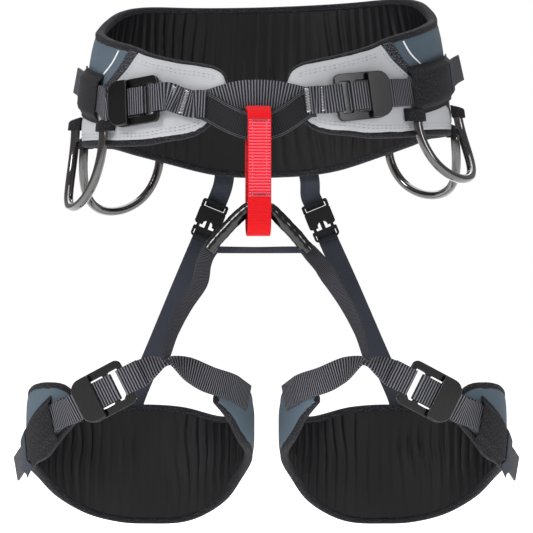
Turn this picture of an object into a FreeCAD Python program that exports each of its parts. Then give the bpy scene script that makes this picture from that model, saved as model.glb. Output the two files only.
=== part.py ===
import FreeCAD, Part
import math
import os

Vector = FreeCAD.Vector

# Climbing harness, front towards -Y, up along +Z, millimetres.
# The origin is the centre of the waist opening, level with the middle of the waist webbing.

# Waist belt
waist_half_width = 133.5
waist_half_depth = 101.0
waist_flare_side = 0.122
waist_flare_front = 0.08
waist_tilt = 0.03
waist_front_turn = -3.0
waist_foam_edge = 3.6
waist_foam_crown = 2.9
lining_thickness = 0.8
shell_thickness = 0.75
layer_gap = 0.06
panel_gap = 0.2

# Leg loops
leg_centre_x = 97.0
leg_half_width = 81.5
leg_half_depth = 75.5
leg_foam_edge = 3.2
leg_foam_crown = 2.3

# Webbing
webbing_width = 20.0
webbing_thickness = 1.5
elastic_width = 16.0
elastic_thickness = 1.3
riser_width = 16.0

# Front centre and belay loop
front_x = -6.0
bridge_y = -108.3
front_y = -120.3
belay_width = 17.0
belay_height = 94.5
belay_gap = 14.0
belay_liner_thickness = 1.1
belay_webbing_thickness = 2.0
belay_top_z = -4.6
belay_turn = 6.0

# Leg bridge
sleeve_radius = 5.2
spreader_width = 5.0

# Waist and leg buckles
buckle_length = 42.0
buckle_height = 35.0
buckle_plate = 2.6
buckle_rise = 2.6
slider_rise = 7.4
slider_plate = 2.4
buckle_turn_right = 29.2
buckle_turn_left = -42.4

# Gear loops
gear_loop_radius = 3.5

# Edge heights of the waist belt: turn from the front in degrees, height in mm
waist_top_edge = [(9, 11), (10.5, 21), (13, 26), (18, 29.5), (25, 32.5), (39, 40.5), (45, 45.5),
                  (60, 53), (75, 60), (90, 66.5), (100, 74), (112, 83), (125, 87.5), (150, 88.5),
                  (180, 88.5)]
waist_bottom_edge = [(9, 0), (11, -8), (14, -15.5), (18, -23), (22, -25.8), (29, -27.5), (37, -29.5),
                     (48, -29), (60, -27.5), (90, -25.5), (114, -25), (130, -30.5), (143, -37),
                     (160, -46.4), (170, -49), (180, -49.5)]

# Height of the waist strap's centre line along the belt
strap_line = [(9, -2), (16, -1), (27, 0.6), (38, 2.7), (50, 5), (62, 9.5), (75, 15.5), (85, 20),
              (92, 24), (100, 27)]

# Edge heights of a leg loop: turn from the front over the outer side, the back and the inner side
leg_top_edge = [(30, -228), (33, -218), (38, -211), (47, -207.6), (64, -209), (81, -215),
                (100, -226), (125, -237.5), (143, -239.5), (162, -233), (180, -231), (200, -232.5),
                (228, -239), (245, -237.5), (262, -229), (272, -222), (284, -213), (298, -205),
                (307, -204), (312, -209), (315, -218)]
leg_bottom_edge = [(30, -234), (37, -243), (45, -253), (54, -264), (70, -271), (90, -277),
                   (108, -286), (128, -304), (148, -318.5), (168, -326), (180, -327),
                   (205, -324), (229, -307), (247, -286), (270, -268), (293, -253),
                   (305, -236), (315, -224)]

os.makedirs("parts", exist_ok=True)


def save(shape, name):
    """Write one named piece as a STEP file."""
    shape.exportStep("parts/" + name + ".step")
    print(name, shape.isValid(), round(shape.Volume / 1000.0, 2))


def smooth(table, x):
    """Read a table of (x, value) pairs with smooth curves between them."""
    if x <= table[0][0]:
        return table[0][1]
    if x >= table[-1][0]:
        return table[-1][1]
    k = 0
    while table[k + 1][0] < x:
        k += 1
    x0, y0 = table[k]
    x1, y1 = table[k + 1]
    slope = (y1 - y0) / (x1 - x0)
    start = slope
    finish = slope
    if k > 0:
        before = (y0 - table[k - 1][1]) / (x0 - table[k - 1][0])
        start = (before + slope) / 2.0 if before * slope > 0 else 0.0
    if k + 2 < len(table):
        after = (table[k + 2][1] - y1) / (table[k + 2][0] - x1)
        finish = (after + slope) / 2.0 if after * slope > 0 else 0.0
    t = (x - x0) / (x1 - x0)
    h = x1 - x0
    a = 2 * t ** 3 - 3 * t ** 2 + 1
    b = t ** 3 - 2 * t ** 2 + t
    c = -2 * t ** 3 + 3 * t ** 2
    d = t ** 3 - t ** 2
    return a * y0 + b * h * start + c * y1 + d * h * finish


def steps(low, high, count):
    """Evenly spaced values from low to high, both included."""
    return [low + (high - low) * i / float(count) for i in range(count + 1)]


def flat_triangle(p, q, r):
    """One flat triangular face."""
    return Part.Face(Part.makePolygon([p, q, r, p]))


def closed_solid(faces):
    """Sew faces into one closed solid with its faces turned outwards."""
    shell = Part.Shell(faces)
    shell.sewShape()
    if shell.ShapeType != "Shell":
        shell = shell.Shells[0]
    solid = Part.Solid(shell)
    if solid.Volume < 0:
        solid.reverse()
    return solid


def sheet_solid(inner, outer):
    """A closed sheet between two grids of points of the same size."""
    rows = len(inner)
    columns = len(inner[0])
    faces = []
    for i in range(rows - 1):
        for j in range(columns - 1):
            for grid in (inner, outer):
                faces.append(flat_triangle(grid[i][j], grid[i + 1][j], grid[i + 1][j + 1]))
                faces.append(flat_triangle(grid[i][j], grid[i + 1][j + 1], grid[i][j + 1]))
    for i in range(rows - 1):
        for j in (0, columns - 1):
            faces.append(flat_triangle(inner[i][j], inner[i + 1][j], outer[i + 1][j]))
            faces.append(flat_triangle(inner[i][j], outer[i + 1][j], outer[i][j]))
    for j in range(columns - 1):
        for i in (0, rows - 1):
            faces.append(flat_triangle(inner[i][j], inner[i][j + 1], outer[i][j + 1]))
            faces.append(flat_triangle(inner[i][j], outer[i][j + 1], outer[i][j]))
    return closed_solid(faces)


def layer(place, turns, across, low, high):
    """A sheet that follows a belt, from offset low to offset high above the belt's inside face."""
    inner = [[place(u, v, low(u, v)) for v in across] for u in turns]
    outer = [[place(u, v, high(u, v)) for v in across] for u in turns]
    return sheet_solid(inner, outer)


def unit(v):
    """The vector's direction with length one."""
    return v * (1.0 / v.Length)


def ribbon(stations, width, thickness, fine=5):
    """A strap of even width through stations of (centre, direction across the strap)."""
    count = len(stations)
    centres = []
    acrosses = []
    for k in range(count - 1):
        p0 = stations[max(k - 1, 0)][0]
        p1 = stations[k][0]
        p2 = stations[k + 1][0]
        p3 = stations[min(k + 2, count - 1)][0]
        for i in range(fine):
            t = i / float(fine)
            m1 = (p2 - p0) * 0.5
            m2 = (p3 - p1) * 0.5
            centre = p1 * (2 * t ** 3 - 3 * t ** 2 + 1) + m1 * (t ** 3 - 2 * t ** 2 + t)
            centre = centre + p2 * (3 * t ** 2 - 2 * t ** 3) + m2 * (t ** 3 - t ** 2)
            centres.append(centre)
            acrosses.append(stations[k][1] * (1 - t) + stations[k + 1][1] * t)
    centres.append(stations[-1][0])
    acrosses.append(stations[-1][1])
    inner = []
    outer = []
    last = len(centres) - 1
    for k in range(last + 1):
        along = unit(centres[min(k + 1, last)] - centres[max(k - 1, 0)])
        normal = unit(along.cross(acrosses[k]))
        side = normal.cross(along)
        half = side * (width / 2.0)
        up = normal * (thickness / 2.0)
        inner.append([centres[k] - half - up, centres[k] + half - up])
        outer.append([centres[k] - half + up, centres[k] + half + up])
    return sheet_solid(inner, outer)


def placed(shape, origin, along, up, out):
    """Move a shape drawn in a local frame to its place: x along, y up, z out."""
    matrix = FreeCAD.Matrix(along.x, up.x, out.x, origin.x,
                            along.y, up.y, out.y, origin.y,
                            along.z, up.z, out.z, origin.z,
                            0, 0, 0, 1)
    moved = shape.copy()
    moved.transformShape(matrix)
    return moved


def rounded_plate(x0, x1, half_height, radii, thickness, z0):
    """A plate in the local xy plane with its own radius at each of its left and right ends."""
    left, right = radii
    points = []
    for cx, cy, radius, begin in ((x1 - right, half_height - right, right, 0),
                                  (x0 + left, half_height - left, left, 90),
                                  (x0 + left, left - half_height, left, 180),
                                  (x1 - right, right - half_height, right, 270)):
        centre = Vector(cx, cy, z0)
        corner = []
        for turn in (begin, begin + 45, begin + 90):
            angle = math.radians(turn)
            corner.append(centre + Vector(radius * math.cos(angle), radius * math.sin(angle), 0))
        points.append(corner)
    edges = []
    for k in range(4):
        a, b, c = points[k]
        edges.append(Part.Arc(a, b, c).toShape())
        edges.append(Part.makeLine(c, points[(k + 1) % 4][0]))
    face = Part.Face(Part.Wire(edges))
    return face.extrude(Vector(0, 0, thickness))


def waist_place(turn, z, offset):
    """A point on the waist belt: turn in degrees from the front, height, distance outwards."""
    angle = math.radians(turn)
    wide = waist_half_width - waist_flare_side * z
    deep = waist_half_depth - waist_flare_front * z
    x = wide * math.sin(angle)
    y = -deep * math.cos(angle)
    normal = unit(Vector(deep * math.sin(angle), -wide * math.cos(angle), 0))
    x += normal.x * offset
    y += normal.y * offset
    return Vector(x, y, z + waist_tilt * x)


def waist_edge(table, turn):
    """Height of a waist edge at a turn, the same on both sides of the front centre."""
    return smooth(table, abs((turn - waist_front_turn + 180) % 360 - 180))


def waist_height(turn, v):
    """Height at the share v of the way from the belt's lower edge to its upper edge."""
    low = waist_edge(waist_bottom_edge, turn)
    high = waist_edge(waist_top_edge, turn)
    return low + v * (high - low)


def waist_sheet_place(turn, v, offset):
    """A point of a layer that covers the belt from edge to edge."""
    return waist_place(turn, waist_height(turn, v), offset)


# Shares of a padded part's height, close together at its rounded edges
crown_steps = [0, 0.04, 0.1, 0.2, 0.35, 0.5, 0.65, 0.8, 0.9, 0.96, 1]


def crown(v, edge, rise):
    """Thickness of a padded part: thin at its edges and full in the middle."""
    return edge + rise * (1 - (2 * v - 1) ** 4)


def waist_turns():
    """Stations round the belt from the right front end over the back to the left front end."""
    ends = [9, 9.7, 10.6, 12, 14, 17, 22]
    spread = ends + steps(26, 334, 62) + [360 - d for d in reversed(ends)]
    return [waist_front_turn - d for d in spread]


def waist_foam_top(turn, v):
    """Outer face of the waist foam."""
    return crown(v, waist_foam_edge, waist_foam_crown)


def waist_shell_top(turn, v):
    """Outer face of the waist shell fabric."""
    return waist_foam_top(turn, v) + layer_gap + shell_thickness


def waist_padding():
    """Foam core, inside lining and outside shell of the waist belt."""
    turns = waist_turns()
    across = crown_steps
    foam = layer(waist_sheet_place, turns, across, lambda u, v: 0.0, waist_foam_top)
    save(foam, "waist_foam")
    lining = layer(waist_sheet_place, turns, [0, 0.5, 1],
                   lambda u, v: -layer_gap - lining_thickness, lambda u, v: -layer_gap)
    save(lining, "waist_lining")
    shell = layer(waist_sheet_place, turns, across,
                  lambda u, v: waist_foam_top(u, v) + layer_gap, waist_shell_top)
    save(shell, "waist_shell")


# Rear limit of the light front panel by share of the belt's height
panel_rear = [(0, 91), (0.15, 88), (0.22, 81.5), (0.3, 74), (0.5, 58), (0.75, 47), (1, 42)]
# Upper limit of the same panel by degrees from the front centre
panel_top = [(42.4, 0.98), (47, 0.75), (58, 0.5), (74, 0.3), (81.5, 0.22), (88, 0.15), (90.5, 0.05)]


def front_panel(side):
    """Light fabric panel over the front of the belt on one side."""
    def place(d, w, offset):
        """Turn d degrees from the front centre, share w from the lower edge to the panel's top."""
        v = 0.02 + w * (smooth(panel_top, d) - 0.02)
        turn = waist_front_turn + side * d
        return waist_sheet_place(turn, v, waist_shell_top(turn, v) + offset)
    along = [9.2, 9.9, 10.8, 12, 14, 17, 20.5] + steps(24, 88, 20) + [90.5]
    return layer(place, along, crown_steps, lambda u, v: panel_gap, lambda u, v: 0.75)


def seam_tape(side):
    """Dark tape behind the front panel's seam."""
    def place(u, v, offset):
        """Share v runs from the strap to the belt's upper edge."""
        turn = waist_front_turn + side * (smooth(panel_rear, v) + 1.1 + 4.2 * u)
        return waist_sheet_place(turn, v, waist_shell_top(turn, v) + offset)
    return layer(place, [0, 0.5, 1], steps(0.05, 0.97, 30),
                 lambda u, v: panel_gap, lambda u, v: 0.65)


def belt_frame(turn, z, offset):
    """Local frame on the belt with x away from the front centre."""
    origin = waist_place(turn, z, offset)
    side = 1 if turn > 0 else -1
    along = unit(waist_place(turn + side * 0.5, z, offset) - origin)
    up = unit(waist_place(turn, z + 1, offset) - origin)
    out = unit(along.cross(up)) * side
    upward = out.cross(along)
    return origin, along, upward, out


def turned_frame(base, drop):
    """The frame turned in its own plane so that its x axis drops by the given degrees."""
    origin, along, up, out = base
    angle = math.radians(drop)
    new_along = along * math.cos(angle) - up * math.sin(angle)
    return origin, unit(new_along), unit(out.cross(new_along)), out


def local_point(base, s, h, u=0.0):
    """A point in a local frame: s along, u up, h out."""
    origin, along, up, out = base
    return origin + along * s + up * u + out * h


def buckle_frame_plate():
    """Fixed plate of a double-back buckle, drawn in its local frame."""
    half = buckle_length / 2.0
    plate = rounded_plate(-half, half, buckle_height / 2.0, (4.5, 9.0), buckle_plate, buckle_rise)
    slot_height = webbing_width / 2.0 + 1.6
    webbing_slot = rounded_plate(-half + 4.0, -half + 12.5, slot_height, (1.5, 1.5), 9, 0)
    window = rounded_plate(-half + 16.5, half - 12, slot_height, (1.5, 3.0), 9, 0)
    plate = plate.cut(webbing_slot).cut(window)
    rim = [edge for edge in plate.Edges
           if abs(edge.BoundBox.ZMin - buckle_rise - buckle_plate) < 0.01
           and edge.BoundBox.ZLength < 0.01]
    return plate.makeFillet(0.6, rim)


def buckle_slider_plate():
    """Moving plate of a double-back buckle with its two hinge cheeks."""
    half = buckle_length / 2.0
    reach = buckle_height / 2.0 - 0.6
    plate = rounded_plate(4.5, half + 0.5, reach, (2.0, 9.0), slider_plate, slider_rise)
    rim = [edge for edge in plate.Edges
           if abs(edge.BoundBox.ZMin - slider_rise - slider_plate) < 0.01
           and edge.BoundBox.ZLength < 0.01]
    plate = plate.makeFillet(0.7, rim)
    cheek_low = buckle_rise + buckle_plate + 0.3
    for sign in (-1, 1):
        cheek_y = 13.2 if sign > 0 else -reach + 0.4
        cheek = Part.makeBox(4.2, reach - 13.6, slider_rise - cheek_low + 0.5,
                             Vector(4.9, cheek_y, cheek_low))
        plate = plate.fuse(cheek)
    return plate.removeSplitter()


def wrap_path(base, start, bar_near, bar_far, turn_side, dip=0.0):
    """Stations of webbing that comes in under a bar, turns round it and goes back over it."""
    low = buckle_rise - 0.35 - webbing_thickness / 2.0
    high = buckle_rise + buckle_plate + 0.35 + webbing_thickness / 2.0
    middle = (low + high) / 2.0
    radius = (high - low) / 2.0
    path = []
    path.append(local_point(base, start, low - dip))
    path.append(local_point(base, (start + bar_near) / 2.0, low))
    path.append(local_point(base, bar_near, low))
    edge = bar_far
    for turn in (0, 30, 60, 90, 120, 150, 180):
        angle = math.radians(turn)
        s = edge + turn_side * (radius * math.sin(angle) * 0.55)
        path.append(local_point(base, s, middle - radius * math.cos(angle)))
    path.append(local_point(base, bar_near, high))
    return path


def belt_side(side):
    """Names and turns for the wearer's left (+X) and right (-X) side."""
    if side > 0:
        return "left", buckle_turn_right
    return "right", buckle_turn_left


def waist_strap_parts(side):
    """Webbing, buckle, sleeve, keeper and tail on one side of the waist belt."""
    name, turn = belt_side(side)
    surface = waist_foam_edge + waist_foam_crown + shell_thickness + 0.95
    strap_z = smooth(strap_line, abs(turn - waist_front_turn))
    base = turned_frame(belt_frame(turn, strap_z, surface), -5.0)
    half = buckle_length / 2.0
    frame = placed(buckle_frame_plate(), *base)
    save(frame, "waist_buckle_frame_" + name)
    slider = placed(buckle_slider_plate(), *base)
    save(slider, "waist_buckle_slider_" + name)

    def on_belt(d, offset, extra=0.0):
        """A point of the strap line on this side."""
        place_turn = waist_front_turn + side * d
        return waist_place(place_turn, smooth(strap_line, d) + extra, offset)

    def flat(d, offset):
        """A station of a strap that lies flat on the flared belt."""
        return on_belt(d, offset), unit(on_belt(d, offset, 1.0) - on_belt(d, offset, -1.0))

    up = base[2] if base[2].z > 0 else base[2] * -1
    wrap = wrap_path(base, -half - 7, -half - 1.5, -half + 4.0, 1)
    far_turn = abs(turn - waist_front_turn) - 14.5

    def clear(d):
        """Offset that clears the tie-in straps' ends near the front."""
        return surface + 4.95 - 1.3 * max(0.0, min(1.0, (d - 18.0) / 6.5))

    stations = [flat(d, clear(d)) for d in steps(15.0, far_turn, 4)]
    stations += [(p, up) for p in wrap]
    over = local_point(base, -half - 9, buckle_rise + 1.9)
    stations.append((over, up))
    stations.append(flat(far_turn - 1.8, clear(far_turn - 1.8) + 1.85))
    save(ribbon(stations, webbing_width, webbing_thickness, 3), "waist_webbing_" + name)

    back_turn = abs(turn - waist_front_turn)
    low_layer = surface + 0.4 + webbing_thickness / 2.0
    high_layer = low_layer + webbing_thickness + 0.25
    sewn = [flat(d, low_layer) for d in steps(back_turn + 34, back_turn + 18, 4)]
    sewn.append(flat(back_turn + 14, low_layer + 0.45))
    middle_bar_near = -half + 16.5
    middle_bar_far = -half + 12.5
    wrap = wrap_path(base, half + 1, middle_bar_near, middle_bar_far, -1, 0.3)
    path = sewn + [(p, up) for p in wrap]
    over_bar = buckle_rise + buckle_plate + 0.35 + webbing_thickness / 2.0
    for s, dip in ((-13.0, 0.05), (-5.0, 0.1), (3.0, 0.6), (8.5, 3.0)):
        path.append((local_point(base, half + s, over_bar - dip), up))
    path += [flat(d, high_layer) for d in steps(back_turn + 18, 88, 6)]
    rising = flat(88, high_layer)[1]
    path.append((on_belt(92, high_layer + 3.0, 1.0), rising))
    path.append((on_belt(97, high_layer + 9.5, 2.5), rising))
    save(ribbon(path, webbing_width, webbing_thickness, 2), "waist_tail_" + name)

    def cover_place(u, v, offset):
        """Sleeve over the doubled strap."""
        d = back_turn + 20.0 + u * (79.0 - back_turn - 20.0)
        z = smooth(strap_line, d) + (v - 0.5) * 37.0
        return waist_place(waist_front_turn + side * d, z, offset)

    def raised(v, base_offset):
        """Offset that lifts over the doubled strap and lies on the belt at its edges."""
        lift = high_layer + webbing_thickness / 2.0 + 0.35 - surface - 0.25
        share = max(0.0, min(1.0, (0.5 - abs(v - 0.5) - 0.055) / 0.14))
        return base_offset + lift * share

    across = [0, 0.055, 0.125, 0.195, 0.35, 0.5, 0.65, 0.805, 0.875, 0.945, 1]
    sleeve = layer(cover_place, steps(0, 1, 8), across,
                   lambda u, v: raised(v, surface + 0.25), lambda u, v: raised(v, surface + 1.25))
    save(sleeve, "waist_sleeve_" + name)

    def keeper_place(u, v, offset):
        """Narrow elastic keeper that holds the strap's free end."""
        d = 80.2 + u * 6.0
        z = smooth(strap_line, d) + (v - 0.5) * 34.0
        return waist_place(waist_front_turn + side * d, z, offset)

    keeper = layer(keeper_place, steps(0, 1, 3), across,
                   lambda u, v: raised(v, surface + 0.25), lambda u, v: raised(v, surface + 1.35))
    save(keeper, "waist_keeper_" + name)


def tie_in_parts():
    """Striped bridge across the front and the dark strap that carries the belay loop."""
    up = Vector(0, 0, 1)
    surface = waist_foam_edge + waist_foam_crown + shell_thickness + 0.95

    def on_front(side, d, z, offset):
        """A station in front of the belt's end on one side, flat on the flared belt."""
        turn = waist_front_turn + side * d
        across = unit(waist_place(turn, z + 1, offset) - waist_place(turn, z - 1, offset))
        return waist_place(turn, z, offset), across

    rear = surface + 0.35 + webbing_thickness / 2.0
    bridge = [on_front(-1, 17.5, -1.0, rear), on_front(-1, 14.0, -0.3, rear),
              on_front(-1, 10.5, 2.0, rear + 0.1), (Vector(-20, bridge_y, 4.2), up),
              (Vector(front_x, bridge_y, 5.0), up), (Vector(8, bridge_y, 4.0), up),
              on_front(1, 10.5, 1.3, rear), on_front(1, 14.0, -0.8, rear),
              on_front(1, 17.0, -1.9, rear)]
    save(ribbon(bridge, webbing_width, webbing_thickness, 4), "tie_in_bridge")
    middle = rear + webbing_thickness + 0.45
    strap = [on_front(-1, 17.5, -1.7, middle), on_front(-1, 14.6, -3.6, middle),
             (Vector(-31, front_y + 7.9, -12.0), up), (Vector(-18, front_y + 2.1, -18.1), up),
             (Vector(front_x, front_y + 0.4, -20.3), up), (Vector(6, front_y + 1.6, -18.1), up),
             (Vector(15, front_y + 4.7, -13.1), up), (Vector(23, front_y + 8.0, -7.4), up),
             on_front(1, 14.6, -4.2, middle + 0.25),
             on_front(1, 17.2, -3.2, middle)]
    save(ribbon(strap, webbing_width, webbing_thickness, 4), "tie_in_strap")


def flat_loop(gap, thickness, height, width):
    """A closed band standing upright round the origin, as wide as the strap along X."""
    outer_radius = gap / 2.0 + thickness
    straight = height / 2.0 - outer_radius

    def stadium(radius):
        """Outline of two straights and two half rounds in the YZ plane."""
        a = Vector(0, radius, -straight)
        b = Vector(0, radius, straight)
        c = Vector(0, -radius, straight)
        d = Vector(0, -radius, -straight)
        top = Part.Arc(b, Vector(0, 0, straight + radius), c).toShape()
        bottom = Part.Arc(d, Vector(0, 0, -straight - radius), a).toShape()
        return Part.Face(Part.Wire([Part.makeLine(a, b), top, Part.makeLine(c, d), bottom]))

    solid = stadium(outer_radius).extrude(Vector(width, 0, 0))
    hole = stadium(gap / 2.0).extrude(Vector(width, 0, 0))
    band = solid.cut(hole)
    band.translate(Vector(-width / 2.0, 0, 0))
    return band


def belay_parts():
    """Red belay loop and the dark liner inside it."""
    centre = Vector(front_x, front_y, belay_top_z - belay_height / 2.0)
    liner_height = belay_height - 2 * belay_webbing_thickness - 0.1
    outer = flat_loop(belay_gap + 2 * belay_liner_thickness + 0.1, belay_webbing_thickness,
                      belay_height, belay_width)
    liner = flat_loop(belay_gap, belay_liner_thickness, liner_height, belay_width - 2.0)
    for shape, name in ((outer, "belay_loop"), (liner, "belay_loop_liner")):
        shape.rotate(Vector(0, 0, 0), Vector(0, 0, 1), belay_turn)
        shape.translate(centre)
        save(shape, name)


def tube(points, radius):
    """A round tube along a smooth curve through the points."""
    curve = Part.BSplineCurve()
    curve.interpolate(points)
    spine = Part.Wire([curve.toShape()])
    tangent = curve.tangent(curve.FirstParameter)[0]
    circle = Part.Wire([Part.makeCircle(radius, points[0], tangent)])
    return spine.makePipeShell([circle], True, True)


def leg_bridge_parts():
    """Protective sleeve that hangs in the belay loop and the elastic that spreads its ends."""
    y = front_y
    points = [Vector(-42.0, y, -109.0), Vector(-30.5, y, -95.5), Vector(-17, y, -82.0),
              Vector(-5, y, -77.0), Vector(6, y, -82.5), Vector(20, y, -97.0),
              Vector(31.0, y, -110.0)]
    save(tube(points, sleeve_radius), "leg_bridge_sleeve")
    elastic = []
    for x, lean in ((-37.5, 0.0), (-25, 0.3), (-6, 0.5), (12, 0.2), (26, 0.0)):
        elastic.append((Vector(x, y + sleeve_radius + 0.9, -108.8 - 0.6 * lean),
                        Vector(0, lean, 1)))
    save(ribbon(elastic, spreader_width, 0.9, 4), "spreader_elastic")


def riser_frame(side):
    """Local frame of the side-release buckle: x along the strap downwards, z to the back."""
    origin = Vector(side * 44.5 - 1.2, 105.5, -82.0)
    along = unit(Vector(side * 0.375, -0.02, -0.925))
    out = unit(Vector(0, 1, -0.02))
    up = unit(out.cross(along))
    out = along.cross(up)
    return origin, along, up, out


def riser_socket():
    """Female half: a flat shell with an open mouth, side windows and a strap bar on top."""
    body = rounded_plate(-8.0, 7.0, 11.0, (2.5, 2.0), 6.4, -3.2)
    hollow = rounded_plate(-5.2, 9.0, 9.2, (1.0, 1.0), 4.0, -2.0)
    window = Part.makeBox(6.5, 26, 3.2, Vector(-2.2, -13, -1.6))
    bar = rounded_plate(-14.0, -7.0, 11.0, (2.0, 1.0), 4.0, -2.0)
    slot = Part.makeBox(3.6, 17.2, 10, Vector(-11.6, -8.6, -5))
    notch = rounded_plate(3.0, 12.0, 4.0, (3.0, 1.0), 10, -5)
    return body.fuse(bar).cut(hollow).cut(window).cut(slot).cut(notch).removeSplitter()


def riser_plug():
    """Male half: a strap bar with a centre guide and two sprung prongs."""
    bar = rounded_plate(9.0, 18.0, 10.5, (1.5, 3.0), 4.2, -2.1)
    slot = Part.makeBox(3.6, 17.2, 10, Vector(12.2, -8.6, -5))
    guide = rounded_plate(-4.0, 10.0, 1.6, (1.2, 0.6), 2.6, -1.3)
    shape = bar.cut(slot).fuse(guide)
    for sign in (-1, 1):
        arm = Part.makePolygon([Vector(9.6, sign * 6.0, -1.3), Vector(9.6, sign * 8.6, -1.3),
                                Vector(3.0, sign * 8.6, -1.3), Vector(0.0, sign * 8.8, -1.3),
                                Vector(-4.4, sign * 6.4, -1.3), Vector(-3.6, sign * 4.6, -1.3),
                                Vector(1.0, sign * 6.2, -1.3), Vector(9.6, sign * 6.0, -1.3)])
        shape = shape.fuse(Part.Face(arm).extrude(Vector(0, 0, 2.6)))
    return shape.removeSplitter()


def rear_riser_parts(side, name):
    """Elastic straps and side-release buckle behind one leg."""
    base = riser_frame(side)
    save(placed(riser_socket(), *base), "riser_socket_" + name)
    save(placed(riser_plug(), *base), "riser_plug_" + name)
    origin, along, up, out = base
    across = up
    belt_turn = 180 - side * 13.5
    outside = waist_foam_edge + waist_foam_crown + layer_gap + shell_thickness + 1.05
    level = unit(waist_place(belt_turn - 1, -40.0, 0) - waist_place(belt_turn + 1, -40.0, 0))
    if level.dot(up) < 0:
        level = level * -1
    upper = [(waist_place(belt_turn, -34.0, outside), level),
             (waist_place(belt_turn, -44.0, outside), level),
             (waist_place(belt_turn - side * 0.6, -54.0, outside - 2.0), level),
             (local_point(base, -20.5, 3.6), across), (local_point(base, -14.0, 3.9), across),
             (local_point(base, -8.6, 4.3), across)]
    save(ribbon(upper, elastic_width, elastic_thickness, 4), "riser_upper_" + name)
    end = Vector(side * 106.0, leg_half_depth + 4.7, -229.0)
    lower = [(local_point(base, 11.0, 3.4), across), (local_point(base, 18.5, 3.3), across),
             (local_point(base, 24.0, 1.8), across),
             (origin * 0.62 + end * 0.38, across), (origin * 0.3 + end * 0.7, across),
             (end + Vector(-side * 3.2, 6.4, 9.0), across), (end + Vector(side * 1.0, 5.6, -3.0), across),
             (end + Vector(side * 4.0, 5.6, -11.0), across)]
    save(ribbon(lower, elastic_width, elastic_thickness, 5), "riser_lower_" + name)


def leg_place(side, turn, z, offset):
    """A point on a leg loop: turn from the front over the outer side, height, distance out."""
    angle = math.radians(turn)
    normal = unit(Vector(leg_half_depth * math.sin(angle), -leg_half_width * math.cos(angle), 0))
    x = leg_centre_x + leg_half_width * math.sin(angle) + normal.x * offset
    y = -leg_half_depth * math.cos(angle) + normal.y * offset
    return Vector(side * x, y, z)


def leg_height(turn, v):
    """Height at the share v of the way up the leg loop."""
    low = smooth(leg_bottom_edge, turn)
    return low + v * (smooth(leg_top_edge, turn) - low)


def leg_shell_top(v):
    """Outer face of the leg loop's shell."""
    return crown(v, leg_foam_edge, leg_foam_crown) + layer_gap + shell_thickness


def leg_padding(side, name):
    """Foam, lining and shell of one leg loop."""
    turns = [30, 31, 32.5, 35, 38.5] + steps(44, 296, 36) + [301, 306, 310, 313, 315]
    across = steps(0, 1, 5)

    def place(u, v, offset):
        """A point between the leg loop's edges."""
        return leg_place(side, u, leg_height(u, v), offset)

    foam = layer(place, turns, across, lambda u, v: 0.0,
                 lambda u, v: crown(v, leg_foam_edge, leg_foam_crown))
    save(foam, "leg_foam_" + name)
    lining = layer(place, turns, [0, 0.5, 1], lambda u, v: -layer_gap - lining_thickness,
                   lambda u, v: -layer_gap)
    save(lining, "leg_lining_" + name)
    shell = layer(place, turns, across,
                  lambda u, v: crown(v, leg_foam_edge, leg_foam_crown) + layer_gap,
                  lambda u, v: leg_shell_top(v))
    save(shell, "leg_shell_" + name)


def leg_buckle_frame(side):
    """Local frame of the leg buckle with x outwards along the strap."""
    origin = Vector(side * 119.0, -80.5, -214.0)
    along = unit(Vector(side * 0.86, 0.20, -0.46))
    out = unit(Vector(side * 0.22, -1.0, 0.02))
    up = unit(out.cross(along)) * side
    out = unit(along.cross(up)) * side
    if side < 0:
        return origin, along, out.cross(along), out
    return origin, along, up, out


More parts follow.
